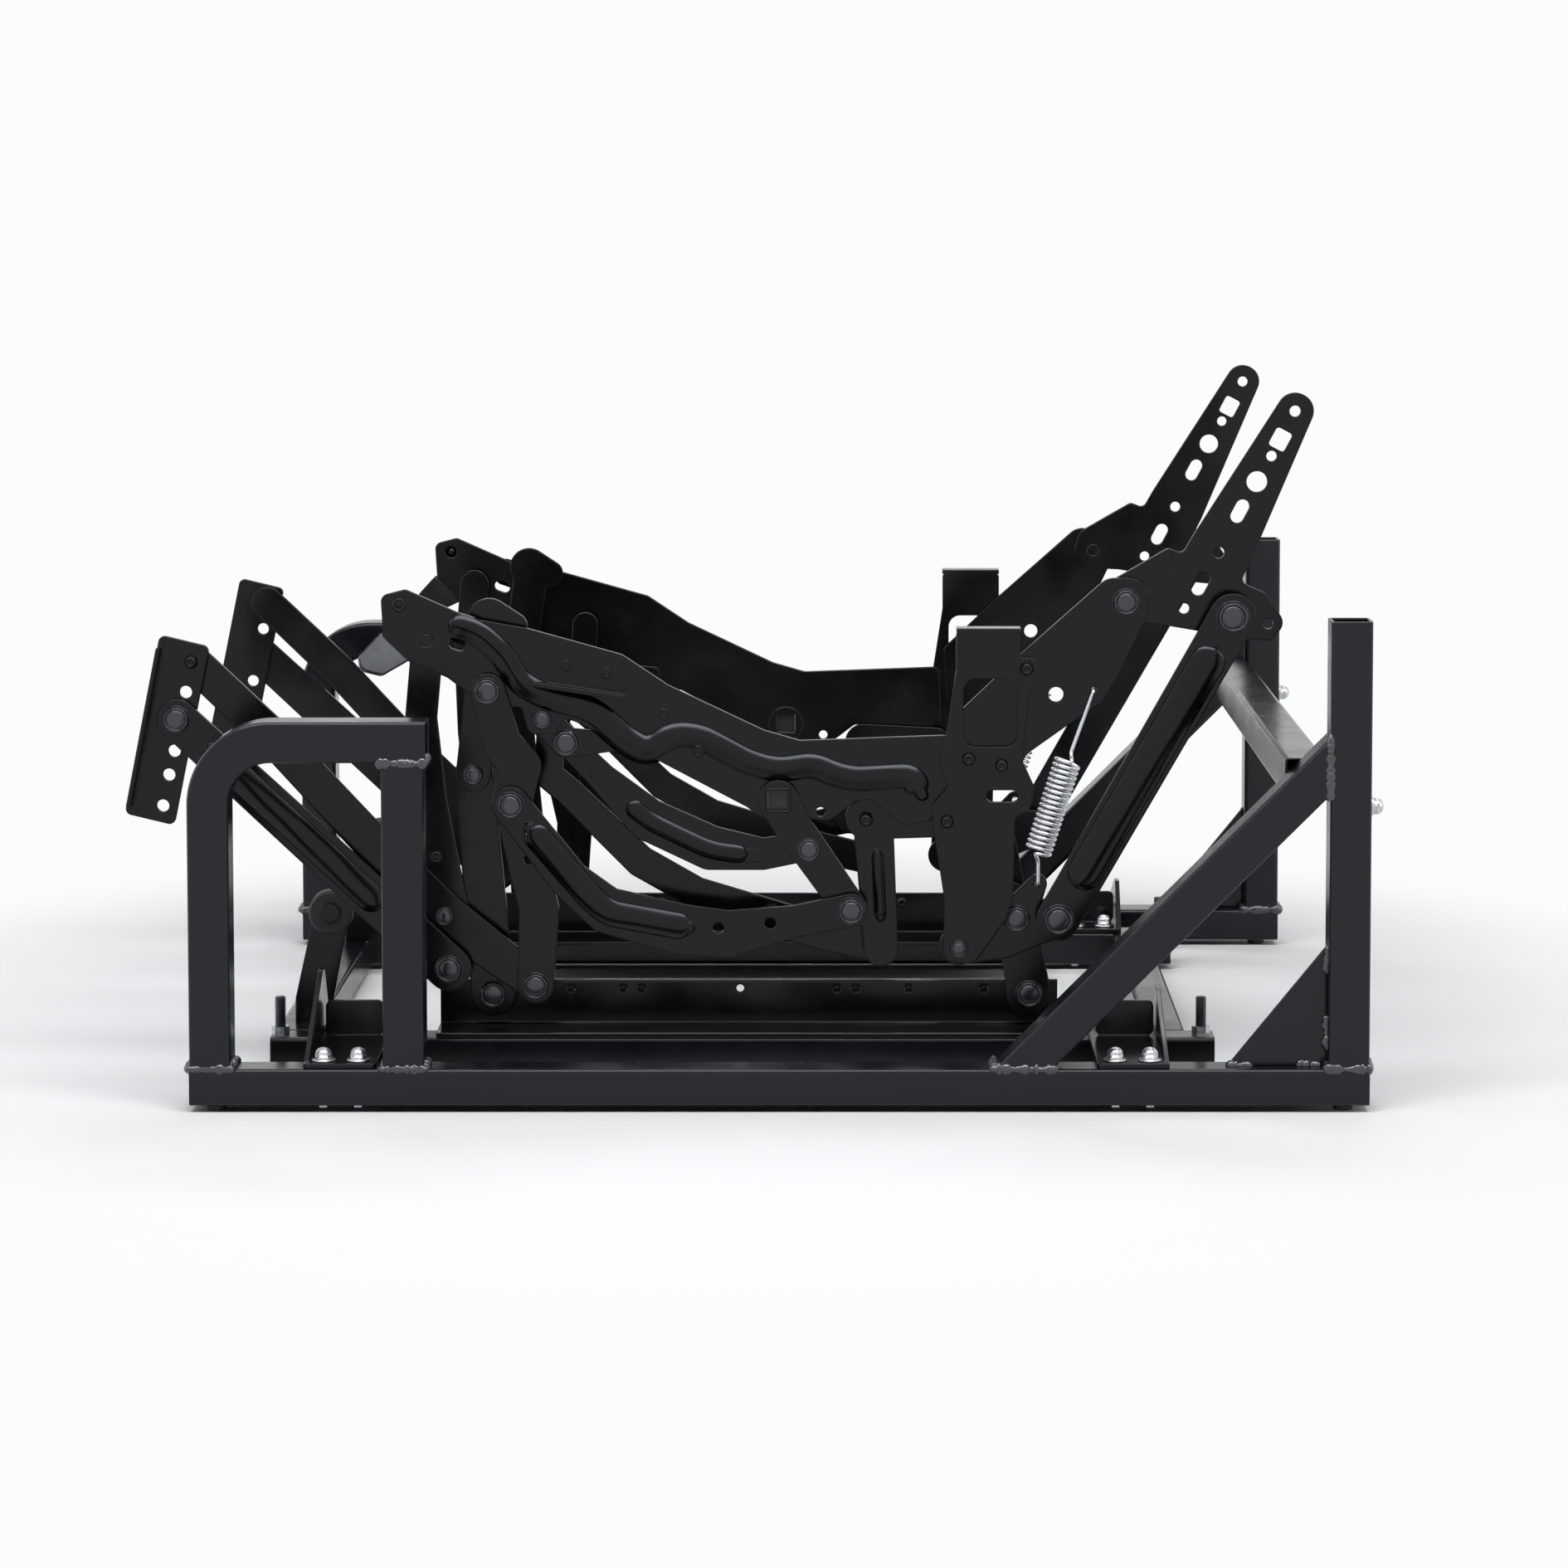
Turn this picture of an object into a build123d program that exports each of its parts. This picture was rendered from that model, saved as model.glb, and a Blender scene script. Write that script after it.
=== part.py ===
from build123d import *
import math
import os

os.makedirs("parts", exist_ok=True)

# A pair of recliner lift mechanisms on a welded steel base, in millimetres.
# X runs from the footrest (front, minus) to the back (plus), Z is up, and the floor is Z = 0.
# The seated person's left side is at minus Y. Each side is the other's mirror image.
# Every link plate lies in a plane of constant Y, one layer apart from the next.

# Base frame
RAIL_LENGTH = 713.0
RAIL_HEIGHT = 22.5
TUBE = 25.0
TUBE_WALL = 1.6
TUBE_CORNER = 2.5
HALF_WIDTH = 290.0
FOOT_HEIGHT = 4.0
FOOT_RADIUS = 6.0
FOOT_INSET = 15.0
BOW_TOP = 237.5
BOW_REACH = 144.0
BOW_BEND = 38.0
FRONT_POST_X = -227.0
REAR_POST_TOP = 298.0
BRACE_RISE = 184.0
GUSSET_SIDE = 60.0
GUSSET_RISE = 74.0
SHEET = 3.0
RAIL_TOP = FOOT_HEIGHT + RAIL_HEIGHT
FRAME_Y = HALF_WIDTH - TUBE / 2
REAR_POST_X = RAIL_LENGTH / 2 - TUBE / 2

# Inner base tubes, which carry the two mechanisms
INNER_TUBE_Y = 182.5
INNER_FRONT = -320.0
INNER_REAR = 271.0
REAR_CROSS_X = 242.0
UPPER_BAR_Z = 200.0
UPPER_BAR_X = REAR_POST_X - TUBE
BAR_BOLT_Z = 185.0
STUD_FRONT_X = -314.8
STUD_REAR_X = 263.2
STUD_RADIUS = 3.0
STUD_RISE = 23.5
NUT_RADIUS = 5.7
NUT_HEIGHT = 5.0
ANGLE_FRONT = -216.0
ANGLE_REAR = 174.0
ANGLE_RISE = 30.5
ANGLE_LIP = 45.0
ANGLE_HOLE_Z = 51.5

# Brackets that bolt the inner tubes to the side rails
BRACKET_FRONT_X = -288.0
BRACKET_REAR_X = 192.0
BRACKET_LENGTH = 44.0
FRONT_WEB_RISE = 42.0
REAR_WEB_RISE = 30.0
WEB_LEAN = 27.0
BOLT_SPACING = 21.0
BOLT_HEAD_RADIUS = 5.5
BOLT_HEAD_HEIGHT = 5.5
BOLT_TAIL = 2.6
BOLT_RADIUS = 3.0

# Front rollers
ROLLER_RADIUS = 14.0
ROLLER_WIDTH = 12.0
ROLLER_AXLE_RADIUS = 4.0
ROLLER_Y = 148.0
ROLLER_AXIS = (-286.5, 98.0)

# Stack of link plates, counted outwards from the upright flange of the base angle
PLATE = 3.0
LAYER_PITCH = 4.0
FLANGE_FACE = 163.0
STAY, LIFT, CARRIER, LEVER, SEAT, SWING, OUTER = 0, 1, 2, 3, 4, 5, 6
RUNNING_FIT = 0.05
HEAD_GAP = 0.3
HEAD_HEIGHT = 3.0
PIN_RADIUS = 4.0
RIVET_RADIUS = 2.5
HEAD_RADIUS = 8.5
SMALL_HEAD_RADIUS = 4.2
OPEN_PIVOT_PLAY = 3.0
RIB_SLOPE = 35
RIB_RISE = 2.0

# Pivots of one side, as (X, Z)
FRONT_LIFT_BASE = (-182.0, 49.5)
FRONT_LIFT_TOP = (-193.5, 189.5)
REAR_LIFT_BASE = (155.5, 50.5)
REAR_LIFT_TOP = (147.5, 99.0)
BELLCRANK_PIVOT = (111.0, 81.5)
BACK_LINK_FOOT = (173.0, 100.5)
BACK_LINK_HEAD = (281.0, 290.5)
BACK_PIVOT = (215.0, 299.0)
SWING_PIVOT = (-183.5, 243.5)
SWING_PIN = (-169.0, 172.5)
SWING_RIVET = (-174.5, 210.5)
LEVER_TAIL = (-154.5, 57.0)
CARRIER_PIVOT = (-221.5, 275.0)
LEVER_PIVOT = (-211.5, 100.5)
UPPER_ARM_FOOT = (-208.5, 68.5)
UPPER_ARM_HEAD = (-377.5, 226.0)
LOWER_ARM_HEAD = (-368.5, 261.5)
CRANK_PIVOT = (-2.0, 175.0)
CRANK_PIN = (43.5, 106.0)
CRANK_MID_PIN = (17.0, 144.0)
LEAF_PIVOT = (-149.5, 225.5)
LEAF_PIN = (-135.0, 210.0)
STAY_RIVET = (62.5, 79.0)
STAY_TOP_RIVET = (-143.0, 247.0)
STABILIZER_RIVET = (53.0, 162.0)
UPRIGHT_RAIL_RIVET = (103.5, 161.5)
HANGER_RIVET = (-182.0, 281.0)
SPRING_EYE = (195.0, 244.0)
SPRING_TAB = (160.5, 121.0)

# Wound spring
SPRING_TURNS = 18
SPRING_MEAN_RADIUS = 7.7
SPRING_WIRE = 2.2
SPRING_BEND = 2.4
SPRING_TIP = 1.5
SPRING_LEAD = 7.0
SPRING_TOP = (179.0, 199.5)
SPRING_BOTTOM = (160.5, 142.0)


finished = {}


def layer_plane(layer):
    """Plane of a layer's inner face on the left side, facing outwards."""
    return Plane.XZ.offset(FLANGE_FACE + 1 + layer * LAYER_PITCH)


def strap(start, start_radius, end, end_radius, mode=Mode.ADD):
    """Draws a tapered strap with round ends between two points of a sketch."""
    reach = Vector(*end) - Vector(*start)
    heading = math.atan2(reach.Y, reach.X)
    spread = math.acos((start_radius - end_radius) / reach.length)
    corners = []
    for centre, radius, side in (
        (start, start_radius, -1),
        (end, end_radius, -1),
        (end, end_radius, 1),
        (start, start_radius, 1),
    ):
        turn = heading + side * spread
        corners.append((centre[0] + radius * math.cos(turn), centre[1] + radius * math.sin(turn)))
    Polygon(*corners, align=None, mode=mode)
    with Locations(start):
        Circle(start_radius, mode=mode)
    with Locations(end):
        Circle(end_radius, mode=mode)


def strap_chain(*stations):
    """Draws straps through (point, radius) stations, one after the other."""
    for (start, start_radius), (end, end_radius) in zip(stations, stations[1:]):
        strap(start, start_radius, end, end_radius)


def outline(points, radius):
    """Draws a closed outline with each corner rounded."""
    with BuildLine() as border:
        FilletPolyline(*points, radius=radius, close=True)
    make_face(border.edges())


def holes(radius, *places):
    """Cuts round holes in a sketch."""
    with Locations(*places):
        Circle(radius, mode=Mode.SUBTRACT)


def raise_rib(layer, half_width, *points, rise=RIB_RISE):
    """Presses a rib with sloping sides along a line of points out of a plate's outer face."""
    with BuildSketch(layer_plane(layer).offset(PLATE)) as rib:
        strap_chain(*[(point, half_width) for point in points])
    extrude(rib.sketch, amount=rise, taper=RIB_SLOPE)


def boss(plane, place, radius, height, taper=0):
    """Adds a round boss that stands on a plane."""
    with BuildSketch(plane) as disc:
        with Locations(place):
            Circle(radius)
    extrude(disc.sketch, amount=height, taper=taper)


def pin(place, own_layer, outer_layer, radius=PIN_RADIUS, head_radius=HEAD_RADIUS):
    """Adds a pivot pin that grows from one plate, passes the outer plate and ends in a head."""
    travel = (outer_layer - own_layer) * LAYER_PITCH
    boss(layer_plane(own_layer), place, radius, travel + PLATE + HEAD_GAP)
    if outer_layer - own_layer > 1:
        boss(layer_plane(own_layer), place, radius + 2, travel - HEAD_GAP)
    boss(layer_plane(outer_layer).offset(PLATE + HEAD_GAP), place, head_radius, HEAD_HEIGHT, 24)


def keep_pair(left, name):
    """Keeps the left piece and its mirror image for the right side."""
    finished[name + "_left"] = left.part
    finished[name + "_right"] = mirror(left.part, about=Plane.XZ)


def tube_profile(width, height):
    """Draws the section of a square steel tube."""
    RectangleRounded(width, height, TUBE_CORNER)
    Rectangle(width - 2 * TUBE_WALL, height - 2 * TUBE_WALL, mode=Mode.SUBTRACT)


def both_sides():
    """Copies what the part holds so far to the other side of the XZ plane."""
    mirror(about=Plane.XZ)


# Side rail, the long tube on the floor
with BuildPart() as side_rail:
    with BuildSketch(Plane.YZ.offset(-RAIL_LENGTH / 2)):
        with Locations((-FRAME_Y, FOOT_HEIGHT + RAIL_HEIGHT / 2)):
            tube_profile(TUBE, RAIL_HEIGHT)
    extrude(amount=RAIL_LENGTH)
keep_pair(side_rail, "side_rail")

# Front bow, one tube bent from upright to level
BOW_X = -RAIL_LENGTH / 2 + TUBE / 2
BOW_AXIS_Z = BOW_TOP - TUBE / 2
with BuildPart() as front_bow:
    with BuildLine(Plane.XZ.offset(FRAME_Y)) as bow_path:
        FilletPolyline(
            (BOW_X, RAIL_TOP),
            (BOW_X, BOW_AXIS_Z),
            (BOW_X + BOW_REACH - TUBE / 2, BOW_AXIS_Z),
            radius=BOW_BEND,
        )
    with BuildSketch(Plane.XY.offset(RAIL_TOP)):
        with Locations((BOW_X, -FRAME_Y)):
            tube_profile(TUBE, TUBE)
    sweep(path=bow_path.wires()[0])
keep_pair(front_bow, "front_bow")

# Post under the free end of the bow
with BuildPart() as front_post:
    with BuildSketch(Plane.XY.offset(RAIL_TOP)):
        with Locations((FRONT_POST_X, -FRAME_Y)):
            tube_profile(TUBE, TUBE)
    extrude(amount=BOW_TOP - TUBE - RAIL_TOP)
keep_pair(front_post, "front_post")

# Tall rear post, open at the top
with BuildPart() as rear_post:
    with BuildSketch(Plane.XY.offset(RAIL_TOP)):
        with Locations((REAR_POST_X, -FRAME_Y)):
            tube_profile(TUBE, TUBE)
    extrude(amount=REAR_POST_TOP - RAIL_TOP)
keep_pair(rear_post, "rear_post")

# Sloping brace from the rail to the rear post
BRACE_END_X = REAR_POST_X - TUBE / 2
brace_start = Vector(BRACE_END_X - BRACE_RISE, -FRAME_Y, RAIL_TOP)
with BuildPart() as brace:
    with BuildSketch(Plane(brace_start - Vector(TUBE, 0, TUBE), x_dir=(0, 1, 0), z_dir=(1, 0, 1))):
        tube_profile(TUBE, TUBE)
    extrude(amount=BRACE_RISE * math.sqrt(2) + 3 * TUBE)
    split(bisect_by=Plane.XY.offset(RAIL_TOP), keep=Keep.TOP)
    split(bisect_by=Plane.YZ.offset(BRACE_END_X), keep=Keep.BOTTOM)
keep_pair(brace, "brace")

# Gussets in the corners behind the braces, both sides
with BuildPart() as gussets:
    with BuildSketch(Plane.XZ.offset(FRAME_Y - SHEET / 2)):
        Polygon(
            (BRACE_END_X - GUSSET_SIDE, RAIL_TOP),
            (BRACE_END_X, RAIL_TOP),
            (BRACE_END_X, RAIL_TOP + GUSSET_RISE),
            align=None,
        )
    extrude(amount=SHEET)
    both_sides()
finished["gussets"] = gussets.part

# Feet under the four rail ends
with BuildPart() as feet:
    with BuildSketch(Plane.XY):
        with GridLocations(RAIL_LENGTH - 2 * FOOT_INSET, 2 * FRAME_Y, 2, 2):
            Circle(FOOT_RADIUS)
    extrude(amount=FOOT_HEIGHT)
finished["feet"] = feet.part

# Inner tubes along both sides
with BuildPart() as inner_tubes:
    with BuildSketch(Plane.YZ.offset(INNER_FRONT)):
        with Locations((-INNER_TUBE_Y, FOOT_HEIGHT + RAIL_HEIGHT / 2)):
            tube_profile(TUBE, RAIL_HEIGHT)
    extrude(amount=INNER_REAR - INNER_FRONT)
    both_sides()
finished["inner_tubes"] = inner_tubes.part

# Cross tubes between the inner tubes, and the upper bar with its ears between the rear posts
with BuildPart() as cross_tubes:
    with BuildSketch(Plane.XZ.offset(INNER_TUBE_Y - TUBE / 2)):
        with Locations((INNER_FRONT + TUBE / 2, FOOT_HEIGHT + RAIL_HEIGHT / 2)):
            tube_profile(TUBE, RAIL_HEIGHT)
        with Locations((REAR_CROSS_X, FOOT_HEIGHT + RAIL_HEIGHT / 2)):
            tube_profile(TUBE, RAIL_HEIGHT)
    extrude(amount=-2 * (INNER_TUBE_Y - TUBE / 2))
    with BuildSketch(Plane.XZ.offset(HALF_WIDTH - TUBE)):
        with Locations((UPPER_BAR_X, UPPER_BAR_Z)):
            tube_profile(TUBE, TUBE)
    extrude(amount=-2 * (HALF_WIDTH - TUBE))
finished["cross_tubes"] = cross_tubes.part

# Base angles, which carry the lift links on an upright flange
ANGLE_HOLES_X = (-133.5, -100.5, -89.0, -26.5, 34.5, 46.5, 80.0, 127.5)
with BuildPart() as base_angles:
    with BuildSketch(Plane.YZ.offset(ANGLE_FRONT)):
        with BuildLine():
            Polyline(
                (-INNER_TUBE_Y - TUBE / 2, RAIL_TOP),
                (-FLANGE_FACE + ANGLE_LIP, RAIL_TOP),
                (-FLANGE_FACE + ANGLE_LIP, RAIL_TOP + SHEET),
                (-FLANGE_FACE + SHEET, RAIL_TOP + SHEET),
                (-FLANGE_FACE + SHEET, RAIL_TOP + ANGLE_RISE),
            )
            FilletPolyline(
                (-FLANGE_FACE + SHEET, RAIL_TOP + ANGLE_RISE),
                (-FLANGE_FACE, RAIL_TOP + ANGLE_RISE),
                (-FLANGE_FACE, RAIL_TOP + SHEET),
                (-INNER_TUBE_Y - TUBE / 2, RAIL_TOP + SHEET),
                (-INNER_TUBE_Y - TUBE / 2, RAIL_TOP),
                radius=1,
            )
        make_face()
    extrude(amount=ANGLE_REAR - ANGLE_FRONT)
    with BuildSketch(Plane.XZ.offset(FLANGE_FACE - SHEET)):
        with Locations(FRONT_LIFT_BASE, REAR_LIFT_BASE):
            Circle(HEAD_RADIUS + 6)
    extrude(amount=SHEET)
    with BuildSketch(Plane.XZ.offset(FLANGE_FACE - SHEET)):
        with Locations(*[(x, ANGLE_HOLE_Z) for x in ANGLE_HOLES_X]):
            Circle(RIVET_RADIUS)
    extrude(amount=SHEET, mode=Mode.SUBTRACT)
    for base_pivot, outer in ((FRONT_LIFT_BASE, LIFT), (REAR_LIFT_BASE, CARRIER)):
        pin(base_pivot, STAY - 1, outer)
    both_sides()
finished["base_angles"] = base_angles.part

# Bolted brackets that bridge the rails and the inner tubes, each with an upright web
BRACKET_OUTER_Y = HALF_WIDTH - 2
BRACKET_INNER_Y = INNER_TUBE_Y - TUBE / 2
with BuildPart() as mounting_brackets:
    for start_x, web_x, web_rise in (
        (BRACKET_FRONT_X, BRACKET_FRONT_X, FRONT_WEB_RISE),
        (BRACKET_REAR_X, BRACKET_REAR_X + BRACKET_LENGTH - SHEET, REAR_WEB_RISE),
    ):
        with BuildSketch(Plane.XY.offset(RAIL_TOP)):
            with Locations((start_x + BRACKET_LENGTH / 2, -(BRACKET_OUTER_Y + BRACKET_INNER_Y) / 2)):
                RectangleRounded(BRACKET_LENGTH, BRACKET_OUTER_Y - BRACKET_INNER_Y, 3)
        extrude(amount=SHEET)
        with BuildSketch(Plane.YZ.offset(web_x)):
            with BuildLine():
                Polyline(
                    (-BRACKET_OUTER_Y + 8, RAIL_TOP + SHEET),
                    (-BRACKET_INNER_Y, RAIL_TOP + SHEET),
                    (-BRACKET_INNER_Y - WEB_LEAN, RAIL_TOP + SHEET + web_rise),
                    (-BRACKET_INNER_Y - WEB_LEAN - 10, RAIL_TOP + SHEET + web_rise),
                    close=True,
                )
            make_face()
        extrude(amount=SHEET)
        with BuildSketch(Plane.XZ.offset(INNER_TUBE_Y + TUBE / 2 + 4)):
            with Locations((start_x + BRACKET_LENGTH / 2, RAIL_TOP + SHEET + 11)):
                RectangleRounded(BRACKET_LENGTH - 8, 22, 4)
        extrude(amount=SHEET)
    both_sides()
finished["mounting_brackets"] = mounting_brackets.part

# Bolts through the brackets, and the studs with their nuts at the inner tubes' ends
bolt_places = [
    (start_x + BRACKET_LENGTH / 2 + side * BOLT_SPACING / 2, y)
    for start_x in (BRACKET_FRONT_X, BRACKET_REAR_X)
    for side in (-1, 1)
    for y in (-FRAME_Y, -INNER_TUBE_Y)
]
stud_places = [(x, -INNER_TUBE_Y) for x in (STUD_FRONT_X, STUD_REAR_X)]
with BuildPart() as fasteners:
    with BuildSketch(Plane.XY.offset(RAIL_TOP + SHEET)):
        with Locations(*bolt_places):
            Circle(BOLT_HEAD_RADIUS)
    extrude(amount=BOLT_HEAD_HEIGHT, taper=12)
    with BuildSketch(Plane.XY.offset(FOOT_HEIGHT)):
        with Locations(*bolt_places):
            RegularPolygon(BOLT_RADIUS + 1.5, 6)
    extrude(amount=-BOLT_TAIL)
    with BuildSketch(Plane.XY.offset(RAIL_TOP)):
        with Locations(*stud_places):
            Circle(STUD_RADIUS)
    extrude(amount=STUD_RISE)
    with BuildSketch(Plane.XY.offset(RAIL_TOP)):
        with Locations(*stud_places):
            RegularPolygon(NUT_RADIUS, 6)
    extrude(amount=NUT_HEIGHT)
    with BuildSketch(Plane.YZ.offset(REAR_POST_X + TUBE / 2)):
        with Locations((-FRAME_Y, BAR_BOLT_Z)):
            Circle(BOLT_HEAD_RADIUS)
    extrude(amount=BOLT_HEAD_HEIGHT, taper=12)
    both_sides()
finished["fasteners"] = fasteners.part

# Stands of the front rollers, on the front cross tube
STAND_INNER_Y = ROLLER_Y - ROLLER_WIDTH / 2 - HEAD_GAP - SHEET
with BuildPart() as roller_stands:
    with BuildSketch(Plane.XZ.offset(STAND_INNER_Y)):
        strap(ROLLER_AXIS, 11, (ROLLER_AXIS[0] - 12, RAIL_TOP + 13), 12)
        with Locations((ROLLER_AXIS[0] - 12, RAIL_TOP + 5)):
            Rectangle(24, 10)
    extrude(amount=SHEET)
    with BuildSketch(Plane.XZ.offset(STAND_INNER_Y)):
        with Locations(ROLLER_AXIS):
            Circle(ROLLER_AXLE_RADIUS)
    extrude(amount=SHEET + ROLLER_WIDTH + 2 * HEAD_GAP)
    with BuildSketch(Plane.XZ.offset(STAND_INNER_Y + SHEET + ROLLER_WIDTH + 2 * HEAD_GAP)):
        with Locations(ROLLER_AXIS):
            Circle(ROLLER_AXLE_RADIUS + 2.5)
    extrude(amount=2)
    both_sides()
finished["roller_stands"] = roller_stands.part

# Front roller with a turned tread
with BuildPart() as roller:
    with BuildSketch(Plane.XZ.offset(ROLLER_Y - ROLLER_WIDTH / 2)):
        with Locations(ROLLER_AXIS):
            Circle(ROLLER_RADIUS)
            Circle(ROLLER_AXLE_RADIUS + RUNNING_FIT, mode=Mode.SUBTRACT)
    extrude(amount=ROLLER_WIDTH)
    chamfer(roller.edges().filter_by(GeomType.CIRCLE).sort_by(SortBy.RADIUS)[-2:], 1.5)
keep_pair(roller, "roller")

# Front lift link, a channel between the base angle and the seat rail's hanger
with BuildPart() as front_lift_link:
    with BuildSketch(layer_plane(LIFT)):
        strap(FRONT_LIFT_BASE, 14, FRONT_LIFT_TOP, 12)
        holes(PIN_RADIUS + RUNNING_FIT, FRONT_LIFT_BASE)
    extrude(amount=PLATE)
    pin(FRONT_LIFT_TOP, LIFT, CARRIER, head_radius=6.5)
keep_pair(front_lift_link, "front_lift_link")

# Rear lift link, short and broad
with BuildPart() as rear_lift_link:
    with BuildSketch(layer_plane(CARRIER)):
        strap(REAR_LIFT_BASE, 14, REAR_LIFT_TOP, 12)
        holes(PIN_RADIUS + RUNNING_FIT, REAR_LIFT_BASE)
    extrude(amount=PLATE)
    pin(REAR_LIFT_TOP, CARRIER, LEVER)
keep_pair(rear_lift_link, "rear_lift_link")

# Bellcrank under the rear upright
with BuildPart() as bellcrank:
    with BuildSketch(layer_plane(LEVER)):
        strap_chain((BELLCRANK_PIVOT, 12), ((139.0, 86.5), 13), (BACK_LINK_FOOT, 13))
        strap(REAR_LIFT_TOP, 12, SPRING_TAB, 6)
        holes(PIN_RADIUS + OPEN_PIVOT_PLAY, REAR_LIFT_TOP)
        holes(2.0, SPRING_TAB)
    extrude(amount=PLATE)
    pin(BELLCRANK_PIVOT, LEVER, SWING, head_radius=6)
    pin(BACK_LINK_FOOT, LEVER, OUTER, head_radius=9.5)
keep_pair(bellcrank, "bellcrank")

# Back link, a ribbed strut from the bellcrank to the back bracket
with BuildPart() as back_link:
    with BuildSketch(layer_plane(OUTER)):
        strap(BACK_LINK_FOOT, 13.5, BACK_LINK_HEAD, 14.5)
        holes(PIN_RADIUS + RUNNING_FIT, BACK_LINK_HEAD)
        holes(PIN_RADIUS + OPEN_PIVOT_PLAY, BACK_LINK_FOOT)
    extrude(amount=PLATE)
    raise_rib(OUTER, 6, (188.0, 127.0), (266.0, 264.0))
keep_pair(back_link, "back_link")

# Back bracket with its row of mounting holes
BACK_OUTLINE = [
    (316.2, 433.3),
    (334.7, 423.0),
    (291.3, 320.5),
    (286.6, 311.2),
    (302.5, 304.0),
    (315.0, 285.5),
    (306.5, 274.0),
    (286.5, 276.0),
    (233.5, 285.0),
    (213.0, 286.0),
    (201.0, 296.0),
    (205.0, 311.5),
    (241.5, 332.5),
    (250.5, 329.0),
    (257.0, 340.5),
]
BACK_RADII = [11.2, 11.2, 2, 4, 8, 8, 7, 6, 6, 6, 8, 8, 4, 4, 5]
BACK_LEAN = 28.0
BACK_TOP_HOLE = (320.0, 418.0)
with BuildPart() as back_bracket:
    with BuildSketch(layer_plane(LEVER)):
        outline(BACK_OUTLINE, BACK_RADII)
        holes(3.5, BACK_TOP_HOLE, (273.0, 329.5))
        holes(3.3, (305.5, 390.0), (251.5, 294.5), (304.0, 285.0))
        holes(6.5, (296.5, 374.0))
        holes(PIN_RADIUS + RUNNING_FIT, BACK_PIVOT)
        with Locations(Location((311.0, 400.3), -BACK_LEAN)):
            RectangleRounded(11, 12.5, 2, mode=Mode.SUBTRACT)
        for slot_place in ((286.0, 355.5), (262.0, 310.0)):
            with Locations(Location(slot_place, 90 - BACK_LEAN)):
                SlotOverall(15.5, 8.5, mode=Mode.SUBTRACT)
    extrude(amount=PLATE)
    pin(BACK_LINK_HEAD, LEVER, OUTER, head_radius=10)
keep_pair(back_bracket, "back_bracket")

# Seat rail, one long pressing with a raised lower band, and its hanger for the front lift link
RAIL_OUTLINE = [
    (-250.0, 303.0),
    (-234.5, 307.0),
    (-194.0, 289.0),
    (-158.5, 282.5),
    (-99.5, 266.0),
    (-71.0, 247.0),
    (-11.0, 218.5),
    (11.5, 212.0),
    (107.0, 215.5),
    (108.0, 178.0),
    (92.0, 161.0),
    (76.0, 158.5),
    (56.0, 175.0),
    (46.5, 174.0),
    (30.0, 161.5),
    (-13.0, 163.5),
    (-21.5, 170.0),
    (-92.5, 207.5),
    (-136.0, 227.0),
    (-141.5, 216.0),
    (-158.0, 216.0),
    (-163.0, 234.0),
    (-184.0, 229.0),
    (-198.0, 243.5),
    (-208.5, 251.5),
    (-234.5, 262.5),
    (-248.5, 277.0),
]
RAIL_RADII = [5, 5, 12, 12, 8, 8, 12, 10, 5, 8, 6, 6, 5, 4, 8, 6, 6, 12, 5, 5, 5, 4, 9, 6, 6, 6, 6]
RIDGE = [
    (-147.0, 240.0),
    (-118.0, 232.5),
    (-96.0, 213.0),
    (-84.0, 206.5),
    (-67.0, 217.0),
    (-51.0, 215.5),
    (-20.0, 198.5),
    (-2.0, 194.0),
    (20.0, 197.5),
    (33.0, 191.5),
    (46.0, 188.5),
    (82.0, 190.5),
    (88.0, 178.0),
]
RIDGE_HALF_WIDTH = 4.2
RIDGE_RISE = 2.4
LIP = ((-153.0, 248.0), (-97.5, 239.5))
LIP_DEPTH = 7.5
HANGER_LOBE = ((-183.0, 287.0), 13.5, (-168.0, 282.5), 9.0)
TAB_ROOT = ((-250.5, 278.5), (-233.5, 262.0))
TAB_OUTLINE = [(-12.5, 1.5), (-12.0, -22.0), (-5.0, -28.0), (7.0, -20.0), (12.5, 1.5)]
TAB_LEAN = -38.0
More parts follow.
